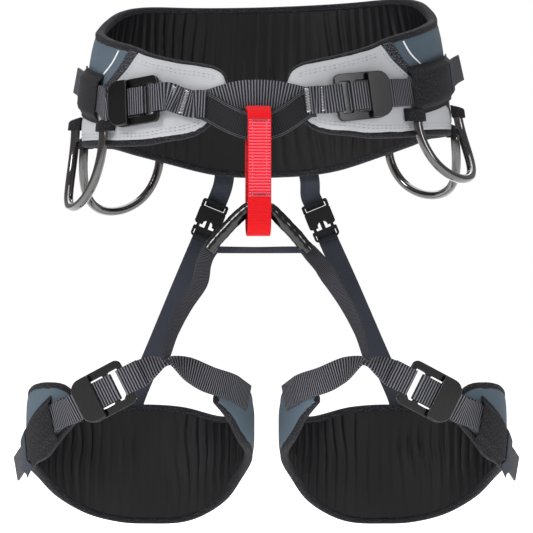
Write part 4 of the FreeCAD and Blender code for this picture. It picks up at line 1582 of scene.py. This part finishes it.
@dataclass
class FrontCentre:
    """Tie-in straps, belay loop, leg bridge and spreader elastic."""

    belt: BeltShape
    body: str = "waist"
    front_x: float = -6.0
    front_y: float = -120.3
    bridge_y: float = -108.3
    belay_gap: float = 14.0
    belay_width: float = 17.0
    belay_height: float = 94.5
    belay_top: float = -4.6
    liner: float = 1.1
    webbing: float = 2.0
    turn: float = 6.0

    def on_front(self, side: int, d: float, z: float, offset: float) -> Station:
        """A station in front of the belt's end on one side, flat on the flared belt.

        Args:
            side: -1 for the wearer's right end, 1 for the left.
            d: Degrees from the front centre.
            z: Height in millimetres.
            offset: Distance out from the belt's inside.

        Returns:
            The point and the direction across a strap there.
        """
        turn = self.belt.front_turn + side * d
        across = self.belt.place(turn, z + 1, offset) - self.belt.place(turn, z - 1, offset)
        return self.belt.place(turn, z, offset), across.normalized()

    def build_tie_in(self) -> None:
        """Striped bridge across the front and the dark strap that dips low in front of it."""
        up = Vector((0, 0, 1))
        rear = self.belt.surface + WEBBING_GAP + WEBBING_THICKNESS / 2
        bridge = [self.on_front(-1, 17.5, -1.0, rear), self.on_front(-1, 14.0, -0.3, rear),
                  self.on_front(-1, 10.5, 2.0, rear + 0.1),
                  (Vector((-20, self.bridge_y, 4.2)), up),
                  (Vector((self.front_x, self.bridge_y, 5.0)), up),
                  (Vector((8, self.bridge_y, 4.0)), up), self.on_front(1, 10.5, 1.3, rear),
                  self.on_front(1, 14.0, -0.8, rear), self.on_front(1, 17.0, -1.9, rear)]
        piece = strap_piece("tie_in_bridge_strap", bridge, WEBBING_WIDTH, WEBBING_THICKNESS,
                            Finish.STRIPED.material, fine=6)
        stand_in(piece, self.body, "striped_webbing", "tie_in_bridge")
        middle = rear + WEBBING_THICKNESS + 0.45
        dip = [self.on_front(-1, 17.5, -1.7, middle), self.on_front(-1, 14.6, -3.6, middle)]
        for x, y, z in ((-31, 7.9, -12.0), (-18, 2.1, -18.1), (self.front_x, 0.4, -20.3),
                        (6, 1.6, -18.1), (15, 4.7, -13.1), (23, 8.0, -7.4)):
            dip.append((Vector((x, self.front_y + y, z)), up))
        dip += [self.on_front(1, 14.6, -4.2, middle + 0.25), self.on_front(1, 17.2, -3.2, middle)]
        piece = strap_piece("tie_in_dipped_strap", dip, WEBBING_WIDTH, WEBBING_THICKNESS,
                            Finish.DARK_WEBBING.material, fine=6)
        stand_in(piece, self.body, "dark_webbing", "tie_in_strap")
        edges = []
        for share in (-0.46, -0.4, 0.4, 0.46):
            edges.append([c + side * (WEBBING_WIDTH * share) + normal * (WEBBING_THICKNESS / 2)
                          for c, side, normal in StrapPath(dip).sample(6)])
            edges.append([c + side * (WEBBING_WIDTH * share) - normal * (WEBBING_THICKNESS / 2)
                          for c, side, normal in StrapPath(dip).sample(6)])
        thread = thread_piece("tie_in_stitching", edges, 0.2, Finish.EDGE_THREAD.material, sides=1)
        stand_in(thread, self.body, "grey_fabric")

    def loop_place(self, radius: float, height: float) -> Place:
        """Middle surface of a flat upright loop; u runs round it and v across it.

        Args:
            radius: Bend radius in millimetres.
            height: Height of the loop in millimetres.

        Returns:
            The surface as a function of u and v.
        """
        straight = height / 2 - radius
        centre = Vector((self.front_x, self.front_y, self.belay_top - self.belay_height / 2))
        spin = Matrix.Rotation(math.radians(self.turn), 3, "Z")
        half_round = math.pi * radius
        total = 2 * (2 * straight + half_round)

        def place(u: float, v: float) -> Vector:
            """A point of the loop.

            Args:
                u: Place along the surface.
                v: Place across the surface.

            Returns:
                The point.
            """
            s = (u % 1.0) * total
            if s < 2 * straight:
                y, z = -radius, -straight + s
            elif s < 2 * straight + half_round:
                a = (s - 2 * straight) / radius
                y, z = -radius * math.cos(a), straight + radius * math.sin(a)
            elif s < 4 * straight + half_round:
                y, z = radius, straight - (s - 2 * straight - half_round)
            else:
                a = (s - 4 * straight - half_round) / radius
                y, z = radius * math.cos(a), -straight - radius * math.sin(a)
            return centre + spin @ Vector((self.belay_width * v, y, z))

        return place

    def build_loop(self, name: str, radius: float, height: float, share: float, thickness: float,
                   finish: Finish, slot: str, node: str) -> None:
        """One closed layer of the belay loop.

        Args:
            name: Piece name.
            radius: Bend radius of the layer's middle, in millimetres.
            height: Height of the layer's middle line, in millimetres.
            share: Share of the loop's width that the layer covers.
            thickness: Layer thickness in millimetres.
            finish: Its finish.
            slot: Material slot.
            node: CAD node that it replaces.
        """
        place = self.loop_place(radius, height)
        bm = cloth_grid(steps(0, 1, 96), steps(-0.5 * share, 0.5 * share, 10), place)
        obj = closed_object(name, bm, finish.material)
        stand_in(thickened(obj, thickness, rounding=0.35), "belay", slot, node)

    def build_belay(self) -> None:
        """Red loop, dark liner and the ribbed overlap sewn down the front."""
        radius = self.belay_gap / 2 + self.liner + 0.05 + self.webbing / 2
        self.build_loop("belay_loop_webbing", radius, self.belay_height - self.webbing, 1.0,
                        self.webbing - 0.1, Finish.RED, "red_webbing", "belay_loop")
        inner = self.belay_gap / 2 + self.liner / 2
        self.build_loop("belay_loop_inner", inner,
                        self.belay_height - 2 * self.webbing - self.liner - 0.1,
                        0.88, self.liner - 0.1, Finish.DARK_WEBBING, "dark_webbing",
                        "belay_loop_liner")
        outer = radius + self.webbing / 2 + 0.35
        place = self.loop_place(outer, self.belay_height + 0.7)
        span = (0.085, 0.345)
        overlap = thin_piece("belay_loop_overlap", steps(*span, 60), steps(-0.47, 0.47, 10), place,
                             0.6, Finish.RED_OVERLAP.material)
        stand_in(overlap, "belay", "red_webbing")
        threads = []
        over = self.loop_place(outer + 0.4, self.belay_height + 1.5)
        for v in (-0.3, 0.3):
            threads += stitches([over(u, v) for u in steps(span[0] + 0.004, span[1] - 0.004, 80)],
                                1.7, 0.7)
        for u in (span[0] + 0.006, span[1] - 0.006):
            across = (over(u, 0.5) - over(u, -0.5)).normalized()
            along = (over(u + 0.01, 0) - over(u, 0)).normalized()
            threads.append(bartack(over(u, 0), across, along, 13.0, 1.3, 22))
        thread = thread_piece("belay_loop_stitching", threads, 0.26, Finish.PINK_THREAD.material,
                              sides=1)
        stand_in(thread, "belay", "red_webbing")

    def build_bridge(self) -> None:
        """Leg bridge sleeve and the elastic between its ends."""
        line = [Vector((x, self.front_y, z)) for x, z in
                ((-42, -109), (-36.5, -102), (-30.5, -95.5), (-24, -88.6), (-17, -82),
                 (-11, -78.2), (-5, -77), (1, -79), (6, -82.5), (13, -89.8), (20, -97),
                 (25.6, -103.6), (31, -110))]
        piece = tube_piece("leg_bridge_moulded_sleeve", line, 5.2, 0.9, Finish.SLEEVE.material)
        stand_in(piece, self.body, "sleeve_plastic", "leg_bridge_sleeve")
        elastic = []
        for x, lean in ((-37.5, 0.0), (-25, 0.3), (-6, 0.5), (12, 0.2), (26, 0.0)):
            elastic.append((Vector((x, self.front_y + 6.1, -108.8 - 0.6 * lean)),
                            Vector((0, lean, 1))))
        piece = strap_piece("leg_spreader_elastic", elastic, 5.0, 0.9, Finish.ELASTIC.material,
                            fine=6, across=3)
        stand_in(piece, self.body, "elastic", "spreader_elastic")

    def build(self) -> None:
        """Build the front centre."""
        self.build_tie_in()
        self.build_belay()
        self.build_bridge()


@dataclass
class RearRiser:
    """Elastic strap and side-release buckle behind one leg."""

    side: Side
    belt: BeltShape
    leg: LegShape
    width: float = 16.0
    thickness: float = 1.3

    def frame(self) -> LocalFrame:
        """The side-release buckle's frame, x down along the strap and z to the back.

        Returns:
            The frame.
        """
        sign = self.side.value
        along = Vector((sign * 0.375, -0.02, -0.925)).normalized()
        out = Vector((0, 1, -0.02)).normalized()
        up = out.cross(along).normalized()
        return LocalFrame(Vector((sign * 44.5 - 1.2, 105.5, -82.0)), along, up, along.cross(up))

    def build(self) -> None:
        """Build both lengths of elastic and dress the buckle."""
        sign, name = self.side.value, self.side.label
        base = self.frame()
        across = base.up
        turn = 180 - sign * 13.5
        belt = self.belt
        outside = belt.foam_edge + belt.foam_crown + belt.shell + 1.05
        level = (belt.place(turn - 1, -40, 0) - belt.place(turn + 1, -40, 0)).normalized()
        level = -level if level.dot(across) < 0 else level
        upper = [(belt.place(turn, -34.0, outside), level),
                 (belt.place(turn, -44.0, outside), level),
                 (belt.place(turn - sign * 0.6, -54.0, outside - 2.0), level),
                 (base.point(-20.5, 3.6), across), (base.point(-14.0, 3.9), across),
                 (base.point(-8.6, 4.3), across)]
        piece = strap_piece("rear_riser_upper_elastic_" + name, upper, self.width, self.thickness,
                            Finish.ELASTIC.material, fine=5)
        stand_in(piece, "waist", "elastic", "riser_upper_" + name)
        end = Vector((sign * 106.0, self.leg.half_depth + 4.7, -229.0))
        lower = [(base.point(11.0, 3.4), across), (base.point(18.5, 3.3), across),
                 (base.point(24.0, 1.8), across), (base.origin * 0.62 + end * 0.38, across),
                 (base.origin * 0.3 + end * 0.7, across),
                 (end + Vector((-sign * 3.2, 6.4, 9.0)), across),
                 (end + Vector((sign * 1.0, 5.6, -3.0)), across),
                 (end + Vector((sign * 4.0, 5.6, -11.0)), across)]
        piece = strap_piece("rear_riser_lower_elastic_" + name, lower, self.width, self.thickness,
                            Finish.ELASTIC.material, fine=8)
        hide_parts("riser_lower_" + name)
        base.point(24.0, 1.6) * MM
        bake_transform(piece)
        LOG.info("piece %s bends between waist and leg_%s", piece.name, name)
        dress_node("riser_socket_" + name, Finish.PLASTIC)
        dress_node("riser_plug_" + name, Finish.PLASTIC)


@dataclass
class LegLoop:
    """One padded leg loop with its straps and buckle."""

    shape: LegShape
    wrinkle: float = 1.9

    @property
    def body(self) -> str:
        """The CAD body that the loop rides on."""
        return "leg_" + self.shape.side.label

    def turns(self, count: int) -> list[float]:
        """Degrees round the loop, close together at both ends."""
        return ([30, 30.5, 31.2, 32, 33.2, 34.6, 36.5, 39, 42] + steps(45, 296, count)
                + [299, 302, 305, 307.5, 309.5, 311.5, 313, 314.2, 315])

    def build_pad(self) -> None:
        """Foam core, slate shell, wrinkled lining and binding."""
        shape, name = self.shape, self.shape.side.label
        turns = self.turns(90)
        core = pad_piece("leg_foam_core_" + name, turns, steps(0, 1, 5),
                         lambda u, v: shape.at(u, v, shape.foam(v) - 0.05),
                         lambda u, v: shape.at(u, v, 0.0), Finish.DARK_CLOTH.material)
        stand_in(core, self.body, "foam", "leg_foam_" + name)

        def outside(u: float, v: float) -> Vector:
            """The shell's middle surface.

            Args:
                u: Place along the surface.
                v: Place across the surface.

            Returns:
                The point.
            """
            edge = (2 * v - 1) ** 4
            pucker = 0.3 * ripple(u * 0.4, v * 2, 21.0) + 0.3 * edge * math.sin(u * 1.6)
            return shape.at(u, v, shape.fabric(v) - 0.3 + pucker * 0.6)

        shell = thin_piece("leg_shell_cloth_" + name, turns, steps(0, 1, 10), outside, 0.6,
                           Finish.SLATE.material)
        stand_in(shell, self.body, "slate_fabric", "leg_shell_" + name)

        def inside(u: float, v: float) -> Vector:
            """The lining's middle surface, wrinkled.

            Args:
                u: Place along the surface.
                v: Place across the surface.

            Returns:
                The point.
            """
            drift = 3.0 * ripple(u * 0.05, v * 2.0, 31.0 + shape.side.value)
            fold = math.sin((u + drift) * 0.95) + 0.6 * math.sin((u + 1.5 * drift) * 1.9 + 0.8)
            fade = math.sin(math.pi * min(1.0, max(0.0, v))) ** 0.35
            depth = self.wrinkle * fade * (0.6 + 0.4 * ripple(u * 0.1, v * 2.7, 37.0))
            return shape.at(u, v, -0.35 - depth * max(0.0, 0.42 + 0.5 * fold) ** 1.8)

        lining = thin_piece("leg_lining_mesh_" + name, steps(30.4, 314.6, 330),
                            steps(0.005, 0.995, 24), inside, 0.4, Finish.LINING.material)
        stand_in(lining, self.body, "lining_mesh", "leg_lining_" + name)

        points, outs = [], []
        run = [(u, 1.0) for u in turns] + [(315.0, 0.7), (315.0, 0.3)]
        run += [(u, 0.0) for u in reversed(turns)] + [(30.0, 0.3), (30.0, 0.7)]
        if shape.side is Side.RIGHT:
            run.reverse()
        for u, v in run:
            points.append(shape.at(u, v, 1.8))
            outs.append((shape.at(u, v, 2.8) - shape.at(u, v, 1.8)).normalized())
        binding = rim_piece("leg_binding_" + name, rim_line(points, outs), 2.9, 2.9, 3.6, 0.5,
                            Finish.BINDING.material)
        stand_in(binding, self.body, "seam_tape")

    def buckle(self) -> LocalFrame:
        """The leg buckle's frame, x outwards along the strap.

        Returns:
            The frame.
        """
        sign = self.shape.side.value
        along = Vector((sign * 0.86, 0.20, -0.46)).normalized()
        out = Vector((sign * 0.22, -1.0, 0.02)).normalized()
        up = out.cross(along).normalized() * sign
        out = along.cross(up).normalized() * sign
        origin = Vector((sign * 119.0, -80.5, -214.0))
        up = out.cross(along) if sign < 0 else up
        return LocalFrame(origin, along, up, out)

    def build_straps(self) -> None:
        """Front strap, riser, adjusting strap, sleeve and keeper."""
        shape, sign, name = self.shape, self.shape.side.value, self.shape.side.label
        base = self.buckle()
        up = base.up if base.up.z > 0 else -base.up
        surface = shape.surface

        def at(x: float, y: float, z: float) -> Vector:
            """A point given for the left leg and mirrored for the right one."""
            return Vector((sign * x, y, z))

        level = Vector((0, 0, 1))
        front = [(shape.place(290, -221, surface + 1.15), level),
                 (shape.place(300, -215.5, surface + 1.15), level),
                 (shape.place(308, -211, surface + 1.2), level),
                 (at(43, -69, -205), Vector((sign * -0.4, 0.15, 0.9))),
                 (at(58, -80, -197), Vector((sign * -0.3, 0.55, 0.6))),
                 (at(73, -87, -191), Vector((0, 1, 0.12))),
                 (at(83, -88.5, -194), Vector((sign * 0.2, 0.7, 0.6)))]
        wrap = wrap_path(base, -BUCKLE_HALF - 8, -BUCKLE_HALF - 1.5, -BUCKLE_HALF + 4.0, 1)
        front += [(p, up) for p in wrap]
        front.append((base.point(-BUCKLE_HALF - 7, BUCKLE_RISE + 3.6), up))
        front.append((base.point(-BUCKLE_HALF - 12, BUCKLE_RISE + 1.6), up))
        piece = strap_piece("leg_front_strap_" + name, front, WEBBING_WIDTH, WEBBING_THICKNESS,
                            Finish.STRIPED.material, fine=5)
        stand_in(piece, self.body, "striped_webbing", "leg_strap_" + name)

        top, level_z, mouth = (31.9, -111.2, 27.6) if sign > 0 else (-43.3, -113.0, -39.3)
        riser = [(Vector((mouth, -120.3, -106.5)), Vector((0.8, 0.45, 0))),
                 (Vector((top, -120.3, level_z)), Vector((0.8, 0.45, 0))),
                 (Vector((top * 0.5 + sign * 24.5, -117.0, -121)), Vector((0.8, 0.45, 0))),
                 (at(49, -111.5, -134), Vector((0.8, -sign * 0.3, 0))),
                 (at(60.5, -103, -152), Vector((0.75, -sign * 0.5, 0))),
                 (at(69, -95, -171), Vector((0.5, -sign * 0.8, 0))),
                 (at(73.5, -88.5, -188.2), Vector((0.25, -sign * 1.0, 0)))]
        piece = strap_piece("leg_front_riser_" + name, riser, 12.6, 2.2, Finish.RISER.material,
                            fine=8)
        stand_in(piece, self.body, "striped_webbing", "leg_riser_" + name)

        low = surface + 0.3 + WEBBING_THICKNESS / 2
        high = low + WEBBING_THICKNESS + 0.25
        tail = [(shape.strap_point(u, low), level) for u in steps(66, 38, 4)]
        tail.append((base.point(BUCKLE_HALF + 9.5, -3.6), up))
        wrap = wrap_path(base, BUCKLE_HALF + 1, -BUCKLE_HALF + 16.5, -BUCKLE_HALF + 12.5, -1, 1.6)
        tail += [(p, up) for p in wrap]
        over = BUCKLE_RISE + BUCKLE_PLATE + 0.35 + WEBBING_THICKNESS / 2
        for s, dip in ((-13.0, 0.05), (-5.0, 0.1), (3.0, 0.5), (9.5, 3.9)):
            tail.append((base.point(BUCKLE_HALF + s, over - dip), up))
        tail += [(shape.strap_point(u, high), level) for u in steps(42, 80, 5)]
        tail.append((shape.strap_point(85, high + 2.0), level))
        tail.append((shape.strap_point(90, high + 5.0), level))
        piece = strap_piece("leg_adjusting_strap_" + name, tail, WEBBING_WIDTH, WEBBING_THICKNESS,
                            Finish.STRIPED.material, fine=4)
        stand_in(piece, self.body, "striped_webbing", "leg_tail_" + name)
        lift = high + WEBBING_THICKNESS / 2 + 0.35 - surface - 0.25

        def cover(first: float, span: float, tall: float, extra: float) -> Place:
            """The middle surface of a cover over the adjusting strap."""
            def place(u: float, v: float) -> Vector:
                """A point of the cover.

                Args:
                    u: Place along the surface.
                    v: Place across the surface.

                Returns:
                    The point.
                """
                turn = first + u * span
                z = -229.0 - (turn - 38) * 0.92 + (v - 0.5) * tall
                offset = raised(v, surface + 0.25 + extra, lift)
                return shape.place(turn + (v - 0.5) * 6.0, z, offset)
            return place

        piece = thin_piece("leg_strap_keeper_" + name, steps(0, 1, 10), COVER_ROWS,
                           cover(68.0, 9.0, 34.0, 0.5), 1.0, Finish.ELASTIC.material)
        stand_in(piece, self.body, "elastic", "leg_keeper_" + name)
        piece = thin_piece("leg_strap_sleeve_" + name, steps(0, 1, 24), COVER_ROWS,
                           cover(44.0, 22.5, 34.0, 0.45), 0.8, Finish.DARK_CLOTH.material)
        stand_in(piece, self.body, "dark_webbing", "leg_sleeve_" + name)

    def build(self) -> None:
        """Build the leg loop and dress its buckle."""
        self.build_pad()
        self.build_straps()
        name = self.shape.side.label
        dress_node("leg_buckle_frame_" + name, Finish.ALLOY)
        dress_node("leg_buckle_slider_" + name, Finish.ALLOY)


@dataclass
class Studio:
    """Pale floor, soft lights and the camera."""

    distance: float = 2.0
    eye_height: float = -0.121
    view_width: float = 0.4104
    sensor: float = 36.0
    floor_drop: float = 0.05
    floor_half: float = 8.0
    fill_strength: float = 0.25

    def build_floor(self) -> None:
        """A wide pale floor, open on every side."""
        bm = bmesh.new()
        bmesh.ops.create_grid(bm, x_segments=1, y_segments=1, size=self.floor_half)
        bmesh.ops.translate(bm, verts=bm.verts, vec=(0, 0, cad_box[0][2] - self.floor_drop))
        material, _, shader = start_material("studio_floor")
        shader.inputs["Base Color"].default_value = (0.93, 0.93, 0.93, 1)
        shader.inputs["Roughness"].default_value = 0.9
        shader.inputs["Emission Color"].default_value = (1, 1, 1, 1)
        shader.inputs["Emission Strength"].default_value = 0.85
        floor = new_object("studio_floor", bm, material)

    def add_light(self, name: str, place: tuple[float, float, float], size: float,
                  power: float) -> None:
        """Add a square soft light aimed at the harness.

        Args:
            name: Light name.
            place: Position in metres.
            size: Edge length in metres.
            power: Watts.
        """
        data = bpy.data.lights.new(name, "AREA")
        data.size = size
        data.energy = power
        light = bpy.data.objects.new(name, data)
        light.location = place
        aim = Vector((0, 0, -0.12)) - light.location
        light.rotation_euler = aim.to_track_quat("-Z", "Y").to_euler()
        bpy.context.scene.collection.objects.link(light)

    def build(self) -> None:
        """Set up the studio."""
        self.build_floor()
        world = bpy.data.worlds.new("studio")
        world.use_nodes = True
        background = world.node_tree.nodes["Background"]
        background.inputs[0].default_value = (1, 1, 1, 1)
        graph = Graph(world.node_tree)
        seen = graph.add("ShaderNodeLightPath").outputs["Is Camera Ray"]
        strength = graph.span(seen, 0.0, 1.0, self.fill_strength, 1.0)
        world.node_tree.links.new(strength, background.inputs[1])
        bpy.context.scene.world = world
        bpy.context.scene.view_settings.view_transform = "Standard"
        self.add_light("key", (-1.1, -1.4, 1.0), 0.6, 22)
        self.add_light("fill", (1.2, -1.5, 0.5), 0.6, 8)
        self.add_light("top", (0.0, 0.1, 1.7), 1.2, 13)
        self.add_light("back", (0.0, 1.3, 1.3), 1.6, 16)
        data = bpy.data.cameras.new("camera")
        data.sensor_width = self.sensor
        data.lens = self.sensor * self.distance / self.view_width
        camera = bpy.data.objects.new("camera", data)
        camera.location = (0, -self.distance, self.eye_height)
        camera.rotation_euler = (math.pi / 2, 0, 0)
        bpy.context.scene.collection.objects.link(camera)
        bpy.context.scene.camera = camera


def main() -> None:
    """Build the harness and its studio in order."""
    logging.basicConfig(level=logging.INFO, format="%(message)s")
    Groups.build()
    Studio().build()
    belt = BeltShape()
    WaistBelt(belt).build()
    WaistStraps(belt).build()
    FrontCentre(belt).build()
    for side in Side:
        leg = LegShape(side)
        RearRiser(side, belt, leg).build()
        LegLoop(leg).build()
        for place in ("front", "rear"):
            dress_node(f"gear_loop_{place}_{side.label}", Finish.TUBE)


if __name__ == "__main__":
    main()
